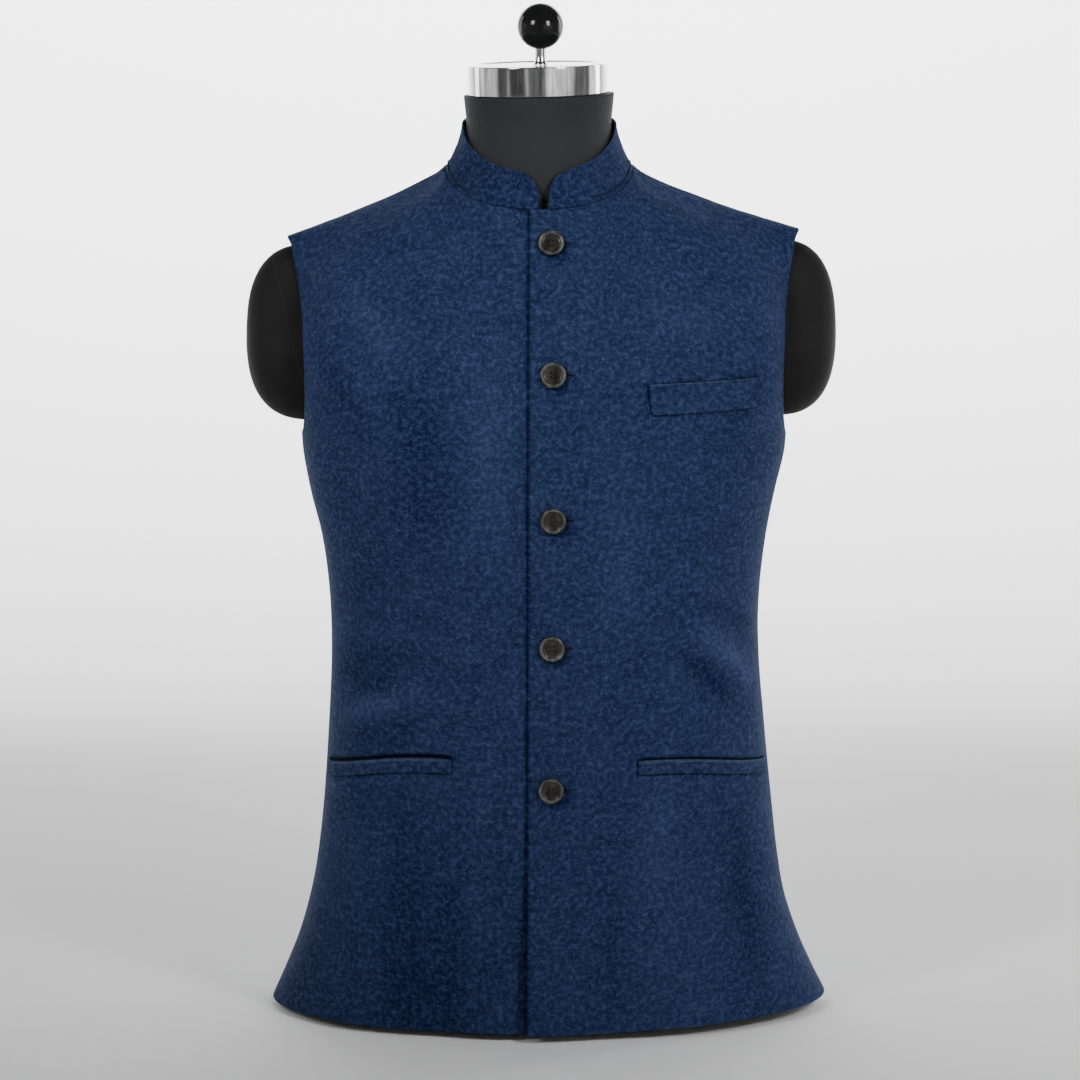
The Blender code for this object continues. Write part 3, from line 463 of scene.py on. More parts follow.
def fold_height(face, x, z):
    """Height of the largest folds at places seen from the front."""
    height = np.zeros_like(x)
    for fold_face, x_1, z_1, x_2, z_2, half_width, rise in FOLDS:
        if fold_face == face:
            run_x = x_2 - x_1
            run_z = z_2 - z_1
            along = ((x - x_1) * run_x + (z - z_1) * run_z) / (run_x**2 + run_z**2)
            along = np.clip(along, 0.0, 1.0)
            distance = np.hypot(x - x_1 - along * run_x, z - z_1 - along * run_z)
            height += rise * bell(distance, half_width)
    return height


def crease_height(face, x, z):
    """Height of the soft creases, which fade out at both ends."""
    height = np.zeros_like(x)
    share = np.linspace(0.0, 1.0, 25)
    for crease_face, x_1, z_1, x_b, z_b, x_2, z_2, half_width, rise in CREASES:
        if crease_face != face:
            continue
        line_x = (1 - share) ** 2 * x_1 + 2 * share * (1 - share) * x_b + share**2 * x_2
        line_z = (1 - share) ** 2 * z_1 + 2 * share * (1 - share) * z_b + share**2 * z_2
        nearest = np.full(x.shape, 1e9)
        strength = np.zeros_like(x)
        for px, pz, s in zip(line_x, line_z, share):
            distance = (x - px) ** 2 + (z - pz) ** 2
            closer = distance < nearest
            nearest = np.where(closer, distance, nearest)
            strength = np.where(closer, 0.25 + 0.75 * math.sin(math.pi * s), strength)
        height += rise * strength * np.exp(-nearest / half_width**2)
    return height


def waver(x, z, seed):
    """Slight unevenness of pressed cloth, a few tenths of a millimetre."""
    random = np.random.default_rng(seed)
    height = np.zeros_like(x)
    for _ in range(14):
        length = random.uniform(0.035, 0.110)
        angle = random.uniform(-0.6, 0.6) + (math.pi / 2 if random.random() < 0.3 else 0.0)
        shift = random.uniform(0.0, 2 * math.pi)
        run = (x * math.cos(angle) + z * math.sin(angle) * 0.6) * 2 * math.pi / length
        height += np.sin(run + shift) * length * 0.0011
    return height


def row_normals(points):
    """Outward normals of a grid of points."""
    across = np.gradient(points, axis=1)
    upward = np.gradient(points, axis=0)
    return unit(np.cross(across, upward))


def find_turn(low, high, is_low):
    """Narrowed limits of the value at which a test turns from true to false."""
    for _ in range(SEARCH_STEPS):
        middle = (low + high) / 2
        before = is_low(middle)
        low = np.where(before, middle, low)
        high = np.where(before, high, middle)
    return low, high


def column_at(face, x, level):
    """Columns of the body surface that pass sideways places at levels."""
    limit = np.full_like(level, WIDEST_COLUMN)
    low, high = find_turn(-limit, limit, lambda at: plain_point(face, at, level)[..., 0] < x)
    return (low + high) / 2


def place_at(face, x, z):
    """Columns and levels of the points seen at places from the front, from a guess made better."""
    x = np.asarray(x, float)
    z = np.asarray(z, float)
    column = x / GUESSED_WIDTH
    top = GUESSED_TOP - GUESSED_SLOPE * np.abs(x)
    rise = (z - UNDERARM_HEIGHT) / (top - UNDERARM_HEIGHT)
    level = np.where(z < UNDERARM_HEIGHT, z / UNDERARM_HEIGHT, 1.0 + rise)
    for _ in range(PLACE_STEPS):
        here = plain_point(face, column, level)
        aside = (plain_point(face, column + PLACE_STEP, level) - here) / PLACE_STEP
        upward = (here - plain_point(face, column, level - PLACE_STEP)) / PLACE_STEP
        det = aside[..., 0] * upward[..., 2] - upward[..., 0] * aside[..., 2]
        gap_x = x - here[..., 0]
        gap_z = z - here[..., 2]
        more_column = (gap_x * upward[..., 2] - gap_z * upward[..., 0]) / det
        more_level = (aside[..., 0] * gap_z - aside[..., 2] * gap_x) / det
        column = column + np.clip(more_column, -LONGEST_STEP, LONGEST_STEP)
        column = np.clip(column, -WIDEST_COLUMN, WIDEST_COLUMN)
        level = level + np.clip(more_level, -LONGEST_STEP, LONGEST_STEP)
        level = np.clip(level, 0.001, 1.999)
    return column, level


def surface_normal(face, column, level):
    """Outward normals of the plain body surface."""
    low = np.maximum(level - NORMAL_STEP, 0.0)
    high = np.minimum(level + NORMAL_STEP, 2.0)
    left = plain_point(face, column + NORMAL_STEP, level)
    upward = plain_point(face, column, high) - plain_point(face, column, low)
    normal = np.cross(left - plain_point(face, column - NORMAL_STEP, level), upward)
    return unit(normal if face == "front" else -normal)


def lap_out(side, x, z):
    """Distance by which the cloth of a front lies outside the body surface at the lap."""
    low = smooth((STAND_OFF_TOP - z) / STAND_OFF_TOP)
    if side > 0:
        return STAND_OFF * low * smooth((STAND_OFF_WIDTH - (x - LAP_EDGE)) / STAND_OFF_WIDTH)
    covered = smooth((x - LAP_RAMP_END + LAP_RAMP) / LAP_RAMP)
    return -covered * (WALL + LAYER_GAP + UNDER_RECESS * low)


def welt_place(welt, x, z):
    """Share of the way along a welt's top edge, and height above that edge."""
    across = (x - welt.x_inner) / (welt.x_outer - welt.x_inner)
    inside = np.clip(across, 0.0, 1.0)
    line = welt.z_inner + (welt.z_outer - welt.z_inner) * inside
    return across, z - (line + welt.bow * 4 * inside * (1 - inside))


def mouth_height(x, z):
    """Relief of the cloth at the hip pockets: an open slit over the welt, a pulled seam under it."""
    height = np.zeros_like(x)
    for welt in WELTS:
        if welt.bow > 0:
            across, above = welt_place(welt, x, z)
            within = smooth(across / 0.05) * smooth((1.0 - across) / 0.04)
            mouth = welt.mouth
            slit = -(0.0010 + 0.22 * mouth) * bell(above - mouth * 0.5, 0.0010 + mouth * 0.4)
            lip = 0.0007 * bell(above - mouth - 0.0030, 0.0024)
            pull = 0.0010 * bell(above + welt.height + 0.0014, 0.0010)
            drop = 0.0006 * bell(above + welt.height + 0.0060, 0.0040)
            height += within * (slit + lip + pull + drop)
    return height


def cloth_out(face, column, x, z):
    """All folds and creases of a face, which fade out towards the side seams."""
    seed = 3 if face == "front" else 7
    out = fold_height(face, x, z) + crease_height(face, x, z) + waver(x, z, seed)
    out = out * smooth((1.0 - np.abs(column)) / SIDE_FADE)
    return out + mouth_height(x, z) if face == "front" else out


def welt_painted_shadow(x, z):
    """Painted shadow along the sides and the bottom of each welt."""
    depth = np.zeros_like(x)
    for welt in WELTS:
        across, above = welt_place(welt, x, z)
        beside = (np.abs(across - 0.5) - 0.5) * abs(welt.x_outer - welt.x_inner)
        half = welt.height / 2
        border = np.maximum(beside, np.abs(above + half) - half)
        depth += 1.1 * bell(border, 0.0015)
    return depth


def cloth_painted_shading(face, column, x, z):
    """Painted light and shade on the cloth: paler on ridges, above 0, darker in hollows, below 0."""
    height = 0.25 * fold_height(face, x, z) + crease_height(face, x, z)
    if face == "front":
        height = height + 0.5 * mouth_height(x, z)
    faded = height * smooth((1.0 - np.abs(column)) / SIDE_FADE)
    painted_light = np.clip(faded / PAINT_FULL_HEIGHT, -1.0, 1.0)
    if face == "front":
        # Painted shadow by each button, below it and towards the wearer's left
        for button_x, button_z in BUTTONS:
            distance = np.hypot(x - button_x - BUTTON_SHADE_LEFT, z - button_z + BUTTON_SHADE_DOWN)
            painted_light = painted_light - 1.3 * np.exp(-((distance / BUTTON_SHADE_RADIUS) ** 4))
        # Painted shade low on the wearer's right, and painted shadows round the welts
        painted_light = painted_light - 0.45 * smooth((0.20 - z) / 0.20) * smooth(-x / 0.12) - welt_painted_shadow(x, z)
    return painted_light


def seam_painted_shade(distance, width, depth):
    """Painted shade within a width of a seam or edge."""
    return -depth * (1.0 - smooth(distance / width))


def cloth_point(x, z, out):
    """Points and normals on the left front, moved out, at places seen from the front."""
    column, level = place_at("front", x, z)
    plain = plain_point("front", column, level)
    normal = surface_normal("front", column, level)
    rise = lap_out(1, plain[..., 0], plain[..., 2]) * (plain[..., 0] > LAP_EDGE - 0.002)
    rise = rise + cloth_out("front", column, plain[..., 0], plain[..., 2]) + out
    return plain + normal * rise[..., None], normal


def side_column(face, side, level):
    """Columns where a panel ends: at the side seam, or at the armhole above it."""
    inset = ARMHOLE_FRONT_INSET if face == "front" else ARMHOLE_BACK_INSET
    above = np.clip(level - 1.0, 0.0, 1.0)
    bow = np.maximum(np.sin(math.pi * above**ARMHOLE_SKEW), 0.0)
    tip = smooth((above - ARMHOLE_TIP) / ARMHOLE_TIP_RUN)
    inset = inset * bow ** (ARMHOLE_FULLNESS + ARMHOLE_TIP_EASE * tip)
    edge = np.abs(plain_point(face, side + 0.0 * level, level)[..., 0]) - inset
    start = np.full_like(level, 0.6)
    seam = np.full_like(level, 1.0 - SEAM_TRIM)
    _, end = find_turn(
        start, seam, lambda at: np.abs(plain_point(face, side * at, level)[..., 0]) < edge
    )
    return side * np.where(level <= 1.0, seam, end)


# Making meshes

def cloth_levels(pockets):
    """Rows of a panel, from the hem to the top edge, closer together at the hip pockets."""
    lower = np.arange(LOWER_ROWS) / LOWER_ROWS
    if pockets:
        low, high = POCKET_LEVELS
        outside = lower[(lower < low) | (lower > CREASED_LEVEL)]
        creased = np.linspace(high, CREASED_LEVEL, CREASED_ROWS)[1:]
        lower = np.sort(np.concatenate((outside, np.linspace(low, high, POCKET_ROWS), creased)))
    share = np.arange(UPPER_ROWS + 1) / UPPER_ROWS
    eased = share + 0.6 * (smooth(share) - share)
    return np.concatenate((lower, 1.0 + eased * (1.0 - SHOULDER_TRIM)))


def with_edge_columns(grid):
    """Grid with more columns close to its two side edges."""
    def steps(edge, inside):
        run = inside - edge
        length = np.maximum(np.linalg.norm(run[:, :3], axis=1, keepdims=True), 1e-9)
        shares = zip(EDGE_STEPS, EDGE_SHARES)
        return [edge + run * np.minimum(step / length, most) for step, most in shares]
    first = steps(grid[:, 0], grid[:, 1])
    last = steps(grid[:, -1], grid[:, -2])
    columns = [grid[:, 0], *first, *np.moveaxis(grid[:, 1:-1], 1, 0), *reversed(last), grid[:, -1]]
    return np.stack(columns, axis=1)


def edge_distance(points):
    """Distance of the points of a grid from its nearest border, along its rows and columns."""
    nearest = np.full(points.shape[:2], 1.0)
    for axis in (0, 1):
        steps = np.linalg.norm(np.diff(points, axis=axis), axis=2)
        none = 0.0 * steps.take([0], axis=axis)
        before = np.concatenate((none, np.cumsum(steps, axis=axis)), axis=axis)
        after = before.take([-1], axis=axis) - before
        nearest = np.minimum(nearest, np.minimum(before, after))
    return nearest


def make_shell(name, points, normals, lengths, thickness, outer_finish, inner_finish, painted_light=None):
    """Closed thin shell with rounded edges, from a grid of outer points."""
    if painted_light is None:
        painted_light = np.zeros(points.shape[:2])
    grid = np.concatenate((points, normals, lengths, painted_light[..., None]), axis=2)
    grid = with_edge_columns(grid)
    grid = np.swapaxes(with_edge_columns(np.swapaxes(grid, 0, 1)), 0, 1)
    rows, columns = grid.shape[:2]
    radius = thickness / 2
    near = np.clip(radius - edge_distance(grid[..., :3]), 0.0, radius)
    round_in = radius - np.sqrt(radius**2 - near**2)
    normal = unit(grid[..., 3:6])
    outer = grid[..., :3] - normal * round_in[..., None]
    inner = grid[..., :3] - normal * (thickness - round_in)[..., None]
    vertices = np.concatenate((outer.reshape(-1, 3), inner.reshape(-1, 3)))
    at = np.arange(rows * columns).reshape(rows, columns)
    a, b, c, d = at[:-1, :-1], at[:-1, 1:], at[1:, 1:], at[1:, :-1]
    front = np.stack((a, b, c, d), axis=-1).reshape(-1, 4)
    behind = np.stack((d, c, b, a), axis=-1).reshape(-1, 4) + rows * columns
    faces = np.concatenate((front, behind))
    mesh = bpy.data.meshes.new(name)
    mesh.from_pydata(vertices.tolist(), [], faces.tolist())
    flat = np.tile(grid[..., 6:8].reshape(-1, 2), (2, 1))
    layer = mesh.uv_layers.new(name="UVMap")
    layer.data.foreach_set("uv", flat[faces.ravel()].ravel())
    # Painted light and shade on the cloth, kept on the mesh for the wool's colour
    painted_layer = mesh.attributes.new("painted_light", "FLOAT", "POINT")
    painted_layer.data.foreach_set("value", np.tile(grid[..., 8].ravel(), 2))
    mesh.materials.append(outer_finish)
    mesh.materials.append(inner_finish)
    slots = np.repeat((0, 1), len(front))
    mesh.polygons.foreach_set("material_index", slots)
    shape = bmesh.new()
    shape.from_mesh(mesh)
    bmesh.ops.remove_doubles(shape, verts=shape.verts, dist=MERGE_DISTANCE)
    if shape.calc_volume(signed=True) < 0:
        bmesh.ops.reverse_faces(shape, faces=shape.faces)
    shape.to_mesh(mesh)
    shape.free()
    return add_piece(name, mesh)


def paint_top_highlight(piece, finish):
    """Give the upward-facing faces of a shell's upper rolled edge a paler finish, a painted
    highlight.
    """
    piece.data.materials.append(finish)
    for face in piece.data.polygons:
        if face.normal.z > 0.30 and face.normal.y < 0.1:
            face.material_index = 2


def add_piece(name, mesh):
    """Smooth object in the scene from a mesh."""
    mesh.shade_smooth()
    made = bpy.data.objects.new(name, mesh)
    bpy.context.scene.collection.objects.link(made)
    return made


def flat_lengths(points, middle_row):
    """Flat lengths across and up a grid: across from its first column, up from the underarm."""
    across = np.linalg.norm(np.diff(points, axis=1), axis=2)
    across = np.concatenate((np.zeros((len(points), 1)), np.cumsum(across, axis=1)), axis=1)
    upward = np.linalg.norm(np.diff(points, axis=0), axis=2)
    upward = np.concatenate((np.zeros((1, points.shape[1])), np.cumsum(upward, axis=0)), axis=0)
    upward = upward - upward[middle_row] + UNDERARM_HEIGHT
    return np.stack((across, upward), axis=2)


def settled_mesh(piece):
    """Plain mesh of a piece with its modifiers applied."""
    bpy.context.view_layer.update()
    evaluated = piece.evaluated_get(bpy.context.evaluated_depsgraph_get())
    return bpy.data.meshes.new_from_object(evaluated)


def place_piece(piece, stands_for):
    """Attach a piece to the root and hide the solids it stands for."""
    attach(piece, "root")
    if stands_for:
        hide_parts(*stands_for)
    return piece


def lathe(name, profile, sides, finish):
    """Solid turned round +Z from a profile of (radius, height) that starts and ends at 0."""
    shape = bmesh.new()
    rings = []
    for radius, height in profile:
        if radius == 0:
            rings.append([shape.verts.new((0.0, 0.0, height))] * sides)
            continue
        ring = []
        for i in range(sides):
            angle = 2 * math.pi * i / sides
            ring.append(shape.verts.new((radius * math.cos(angle), radius * math.sin(angle), height)))
        rings.append(ring)
    for low, high in zip(rings, rings[1:]):
        for i in range(sides):
            j = (i + 1) % sides
            corners = list(dict.fromkeys((low[i], low[j], high[j], high[i])))
            shape.faces.new(corners)
    mesh = bpy.data.meshes.new(name)
    shape.to_mesh(mesh)
    shape.free()
    mesh.materials.append(finish)
    return mesh


def rounded(profile, radius, steps=4):
    """Profile with its corners rounded, but for its two ends."""
    made = [profile[0]]
    for before, corner, after in zip(profile, profile[1:], profile[2:]):
        here = Vector(corner)
        back = Vector(before) - here
        on = Vector(after) - here
        reach = min(radius, back.length * 0.45, on.length * 0.45)
        start = here + back.normalized() * reach
        end = here + on.normalized() * reach
        for i in range(steps + 1):
            t = i / steps
            point = start * (1 - t) ** 2 + here * (2 * t * (1 - t)) + end * t**2
            made.append((max(point.x, 0.0), point.y))
    made.append(profile[-1])
    return made


# Materials

def add_node(tree, kind, inputs=(), **settings):
    """New node with its settings, and its inputs joined to sockets or set to values."""
    made = tree.nodes.new(kind)
    for key, value in settings.items():
        setattr(made, key, value)
    for key, value in dict(inputs).items():
        if isinstance(value, bpy.types.NodeSocket):
            tree.links.new(value, made.inputs[key])
        else:
            made.inputs[key].default_value = value
    return made


def new_group(name, kind, inputs, outputs):
    """Node group with its sockets. Returns the tree, what it is given and what it gives."""
    tree = bpy.data.node_groups.new(name, kind)
    for way, rows in (("INPUT", inputs), ("OUTPUT", outputs)):
        for label, holds, *value in rows:
            socket = tree.interface.new_socket(
                label, in_out=way, socket_type="NodeSocket" + holds
            )
            if value:
                socket.default_value = value[0]
    given = tree.nodes.new("NodeGroupInput").outputs
    return tree, given, tree.nodes.new("NodeGroupOutput").inputs


def stretched(tree, where, scale, turn=0.0):
    """Coordinates turned and scaled, for a pattern with a grain."""
    spin = (0.0, 0.0, turn)
    return add_node(
        tree, "ShaderNodeMapping", {"Vector": where, "Scale": scale, "Rotation": spin}
    ).outputs[0]


def noise(tree, where, scale, detail=2.0, roughness=0.5):
    """Value of a soft noise."""
    inputs = {"Vector": where, "Scale": scale, "Detail": detail, "Roughness": roughness}
    return add_node(tree, "ShaderNodeTexNoise", inputs).outputs[0]


def ramp(tree, value, low, high):
    """Value stretched so that low becomes 0 and high becomes 1."""
    inputs = {"Value": value, "From Min": low, "From Max": high}
    return add_node(tree, "ShaderNodeMapRange", inputs).outputs[0]


def object_place(tree):
    """Coordinates on the object."""
    return add_node(tree, "ShaderNodeTexCoord").outputs["Object"]


def attribute(tree, name):
    """Value kept on the mesh."""
    return add_node(tree, "ShaderNodeAttribute", attribute_name=name).outputs["Fac"]


def waves(tree, where, scale, distortion, detail, direction="X", detail_scale=1.0):
    """Value of soft bands."""
    inputs = {"Vector": where, "Scale": scale, "Distortion": distortion, "Detail": detail,
              "Detail Scale": detail_scale}
    return add_node(tree, "ShaderNodeTexWave", inputs, bands_direction=direction).outputs[1]


def calculate(tree, operation, first, second):
    """Result of two values."""
    return add_node(tree, "ShaderNodeMath", {0: first, 1: second}, operation=operation).outputs[0]


def product(tree, first, second):
    """Product of two values."""
    return calculate(tree, "MULTIPLY", first, second)


def total(tree, first, second):
    """Sum of two values."""
    return calculate(tree, "ADD", first, second)


def blend_colours(tree, share, first, second):
    """Mix of two colours."""
    inputs = {0: share, 6: first, 7: second}
    return add_node(tree, "ShaderNodeMix", inputs, data_type="RGBA").outputs[2]


def bumps(tree, height, depth, strength=1.0):
    """Normals of a fine relief."""
    inputs = {"Height": height, "Distance": depth, "Strength": strength}
    return add_node(tree, "ShaderNodeBump", inputs).outputs[0]


def make_wool_group():
    """Heathered wool: mottled colour, fine twill, stray fibres and a napped surface."""
    tree, given, out = new_group(
        "heathered_wool", "ShaderNodeTree",
        (
            ("Deep", "Color", (0.0015, 0.0086, 0.0370, 1.0)),
            ("Pale", "Color", (0.0500, 0.0750, 0.1785, 1.0)),
            ("Mottle Size", "Float", 235.0),
            ("Nap Height", "Float", 0.00035),
        ),
        (("Color", "Color"), ("Roughness", "Float"), ("Normal", "Vector")),
    )
    flat = add_node(tree, "ShaderNodeUVMap", uv_map="UVMap").outputs[0]
    size = given["Mottle Size"]
    mottle = noise(tree, flat, size, 4.0, 0.62)
    grain = noise(tree, flat, product(tree, size, 2.3), 2.0, 0.5)
    cloudy = noise(tree, flat, product(tree, size, 0.30), 3.0, 0.6)
    broad = noise(tree, flat, 24.0, 2.0)
    warp = noise(tree, stretched(tree, flat, (1250.0, 210.0, 1.0)), 1.0, 3.0)
    weft = noise(tree, stretched(tree, flat, (230.0, 1250.0, 1.0)), 1.0, 3.0)
    fleck = noise(tree, stretched(tree, flat, (430.0, 600.0, 1.0), 0.6), 1.0, 2.0)
    slanted = stretched(tree, flat, (1.0, 1.0, 1.0), 0.48)
    twill = waves(tree, slanted, 150.0, 2.2, 2.0, detail_scale=1.6)
    parts = (
        (ramp(tree, mottle, 0.44, 0.66), 0.42),
        (ramp(tree, grain, 0.46, 0.68), 0.16),
        (ramp(tree, cloudy, 0.40, 0.66), 0.10),
        (ramp(tree, calculate(tree, "MAXIMUM", warp, weft), 0.54, 0.72), 0.14),
        (ramp(tree, fleck, 0.56, 0.74), 0.32),
        (twill, 0.04),
        (calculate(tree, "SUBTRACT", broad, 0.32), 0.18),
    )
    # Painted light and shade from the mesh makes the wool paler or darker
    share = product(tree, attribute(tree, "painted_light"), 0.24)
    for value, weight in parts:
        share = total(tree, product(tree, value, weight), share)
    clear = add_node(tree, "ShaderNodeClamp", {"Value": share}).outputs[0]
    colour = blend_colours(tree, clear, given["Deep"], given["Pale"])
    height = product(tree, total(tree, warp, weft), 0.35)
    height = total(tree, height, product(tree, mottle, 0.9))
    height = total(tree, height, product(tree, twill, 0.12))
    rough = total(tree, product(tree, mottle, -0.10), 0.95)
    tree.links.new(colour, out["Color"])
    tree.links.new(rough, out["Roughness"])
    tree.links.new(bumps(tree, height, given["Nap Height"], 0.8), out["Normal"])
    return tree


def new_material(name, settings=()):
    """Material with nodes and constants on its shader. Returns it and its tree."""
    made = bpy.data.materials.new(name)
    made.use_nodes = True
    for key, value in dict(settings).items():
        made.node_tree.nodes["Principled BSDF"].inputs[key].default_value = value
    return made, made.node_tree


def join_shader(tree, colour, rough, normal=None):
    """Join colour, roughness and relief to the shader."""
    inputs = tree.nodes["Principled BSDF"].inputs
    tree.links.new(colour, inputs["Base Color"])
    tree.links.new(rough, inputs["Roughness"])
    if normal:
        tree.links.new(normal, inputs["Normal"])


def wool_material(name, group, values=()):
    """Wool of one shade."""
    made, tree = new_material(name, {
        "Specular IOR Level": 0.10, "Sheen Weight": 0.07, "Sheen Roughness": 0.45,
        "Sheen Tint": (0.45, 0.58, 0.85, 1.0),
    })
    used = add_node(tree, "ShaderNodeGroup", values, node_tree=group).outputs
    join_shader(tree, used["Color"], used["Roughness"], used["Normal"])
    return made


def horn_material():
    """Dark horn with cloudy streaks, a satin face and a painted highlight on its rim."""
    made, tree = new_material("dark_horn")
    where = object_place(tree)
    cloud = noise(tree, stretched(tree, where, (1.0, 1.0, 0.35), 0.4), 170.0, 4.0, 0.6)
    streak = waves(tree, stretched(tree, where, (1.0, 0.5, 0.5), 0.9), 60.0, 7.0, 3.0)
    cloudy = product(tree, ramp(tree, cloud, 0.35, 0.7), 0.6)
    share = total(tree, cloudy, product(tree, streak, 0.4))
    dish = blend_colours(tree, share, (0.0075, 0.0066, 0.0056, 1.0), (0.038, 0.0335, 0.0285, 1.0))
    # Paler colour on the rim: painted highlight
    painted_rim_highlight = blend_colours(tree, share, (0.023, 0.0245, 0.023, 1.0), (0.102, 0.109, 0.102, 1.0))
    colour = blend_colours(tree, attribute(tree, "rim"), dish, painted_rim_highlight)
    scratch = noise(tree, stretched(tree, where, (300.0, 2600.0, 900.0), 0.5), 1.0, 2.0)
    rough = total(tree, product(tree, cloud, 0.20), 0.14)
    join_shader(tree, colour, rough, bumps(tree, scratch, 0.00004, 0.5))
    return made


def thread_material():
    """Dark twisted thread."""
    made, tree = new_material("sewing_thread")
    twist = noise(tree, object_place(tree), 2600.0, 2.0)
    colour = blend_colours(tree, twist, (0.006, 0.009, 0.018, 1.0), (0.022, 0.030, 0.052, 1.0))
    join_shader(tree, colour, ramp(tree, twist, -0.6, 1.4), bumps(tree, twist, 0.0001))
    return made


def shadow_material():
    """Painted shadow: dark sheet in a pocket mouth or buttonhole."""
    made, tree = new_material("painted_gap_shadow", {"Specular IOR Level": 0.05})
    grain = noise(tree, object_place(tree), 1300.0, 2.0)
    colour = blend_colours(tree, grain, (0.0008, 0.0022, 0.0100, 1.0), (0.003, 0.006, 0.022, 1.0))
    join_shader(tree, colour, ramp(tree, grain, -3.0, 1.2))
    return made


def jersey_material(name, dark, pale, sheen):
    """Matte black knitted cover of the dress form."""
    made, tree = new_material(
        name, {"Specular IOR Level": 0.12, "Sheen Weight": sheen, "Sheen Roughness": 0.30}
    )
    where = object_place(tree)
    ribs = waves(tree, where, 330.0, 0.6, 1.0)
    knit = product(tree, ribs, waves(tree, where, 360.0, 0.6, 1.0, "Z"))
    fuzz = noise(tree, where, 900.0, 3.0, 0.6)
    broad = product(tree, noise(tree, where, 30.0, 2.0), 0.4)
    share = total(tree, product(tree, fuzz, 0.7), broad)
    height = total(tree, product(tree, knit, 0.5), fuzz)
    colour = blend_colours(tree, share, dark, pale)
    join_shader(tree, colour, ramp(tree, fuzz, -2.2, 1.6), bumps(tree, height, 0.00012, 0.6))
    return made


def chrome_material():
    """Polished chrome with faint wipe marks in its relief and upright streaks painted into its
    colour, a painted reflection.
    """
    made, tree = new_material("bright_chrome", {"Metallic": 1.0})
    where = object_place(tree)
    painted_streaks = noise(tree, stretched(tree, where, (90.0, 90.0, 14.0)), 1.0, 3.0)
    rough = ramp(tree, noise(tree, where, 60.0, 3.0), -0.1, 7.0)
    painted_streak_share = ramp(tree, painted_streaks, 0.35, 0.68)
    # Upright streaks in the colour: painted reflection
    colour = blend_colours(tree, painted_streak_share, (0.52, 0.52, 0.53, 1.0), (0.80, 0.80, 0.80, 1.0))
    join_shader(tree, colour, rough, bumps(tree, painted_streaks, 0.00015, 0.3))
    return made


def gloss_material():
    """Black lacquer with faint haze."""
    made, tree = new_material("black_gloss", {"Specular IOR Level": 0.30})
    haze = noise(tree, object_place(tree), 120.0, 3.0)
    colour = blend_colours(tree, haze, (0.006, 0.0062, 0.0062, 1.0), (0.014, 0.0145, 0.0145, 1.0))
    join_shader(tree, colour, ramp(tree, haze, -0.2, 5.5))
    return made


# Cloth pieces

def panel_columns(start, side, end, near_steps, far_steps):
    """Columns of a panel in two runs, which meet below the neck's end."""
    turn = np.full_like(start, side * NECK_SHARE)
    near = start[:, None] + (turn - start)[:, None] * np.arange(near_steps) / near_steps
    far = turn[:, None] + (end - turn)[:, None] * np.arange(far_steps + 1) / far_steps
    return np.concatenate((near, far), axis=1)


def front_grid(side):
    """Outer points of a front, their normals, flat lengths and painted light and shade."""
    levels = cloth_levels(True)
    lap = LAP_EDGE + LAP_LEAN * plain_point("front", 0.0 * levels, levels)[:, 2]
    start = column_at("front", lap if side > 0 else np.full_like(levels, UNDER_EDGE), levels)
    end = side_column("front", side, levels)
    columns = panel_columns(start, side, end, *FRONT_COLUMNS)
    rows = np.repeat(levels[:, None], columns.shape[1], axis=1)
    plain = plain_point("front", columns, rows)
    normals = row_normals(plain) * side
    x = plain[..., 0]
    z = plain[..., 2]
    out = lap_out(side, x, z) + cloth_out("front", columns, x, z)
    points = plain + normals * out[..., None]
    lengths = flat_lengths(points, int(np.searchsorted(levels, 1.0)))
    lengths[..., 0] = lengths[..., 0] * side + (LAP_EDGE if side > 0 else UNDER_EDGE)
    painted_light = cloth_painted_shading("front", columns, x, z)
    # Painted shadow along the lap's edge
    painted_light += seam_painted_shade(np.abs(x - lap[:, None] + LAP_SHADOW_SHIFT), LAP_SHADOW_WIDTH, 1.0)
    # Painted shade along the front's top edge, at the neckline and the shoulder seam
    painted_light[-1] -= 1.2
    return points, row_normals(points) * side, lengths, painted_light


def back_grid():
    """Outer points of the back, normals, flat lengths and painted light and shade, from left to
    right.
    """
    levels = cloth_levels(False)
    left, right = (
        panel_columns(0.0 * levels, side, side_column("back", side, levels), *BACK_COLUMNS)
        for side in (1, -1)
    )
    columns = np.concatenate((left[:, ::-1], right[:, 1:]), axis=1)
    rows = np.repeat(levels[:, None], columns.shape[1], axis=1)
    plain = plain_point("back", columns, rows)
    normals = row_normals(plain)
    out = cloth_out("back", columns, plain[..., 0], plain[..., 2])
    points = plain + normals * out[..., None]
    lengths = flat_lengths(points, LOWER_ROWS)
    middle = left.shape[1] - 1
    lengths[..., 0] -= lengths[:, middle:middle + 1, 0]
    painted_light = cloth_painted_shading("back", columns, plain[..., 0], plain[..., 2])
    return points, row_normals(points), lengths, painted_light


def collar_lean(angle):
    """Distance by which the collar's top edge lies nearer the neck than its seam."""
    side = np.sin(angle) ** 2
    ahead = np.where(np.cos(angle) > 0, COLLAR_LEAN_FRONT, COLLAR_LEAN_BACK)
    return side * COLLAR_LEAN_SIDE + (1.0 - side) * ahead


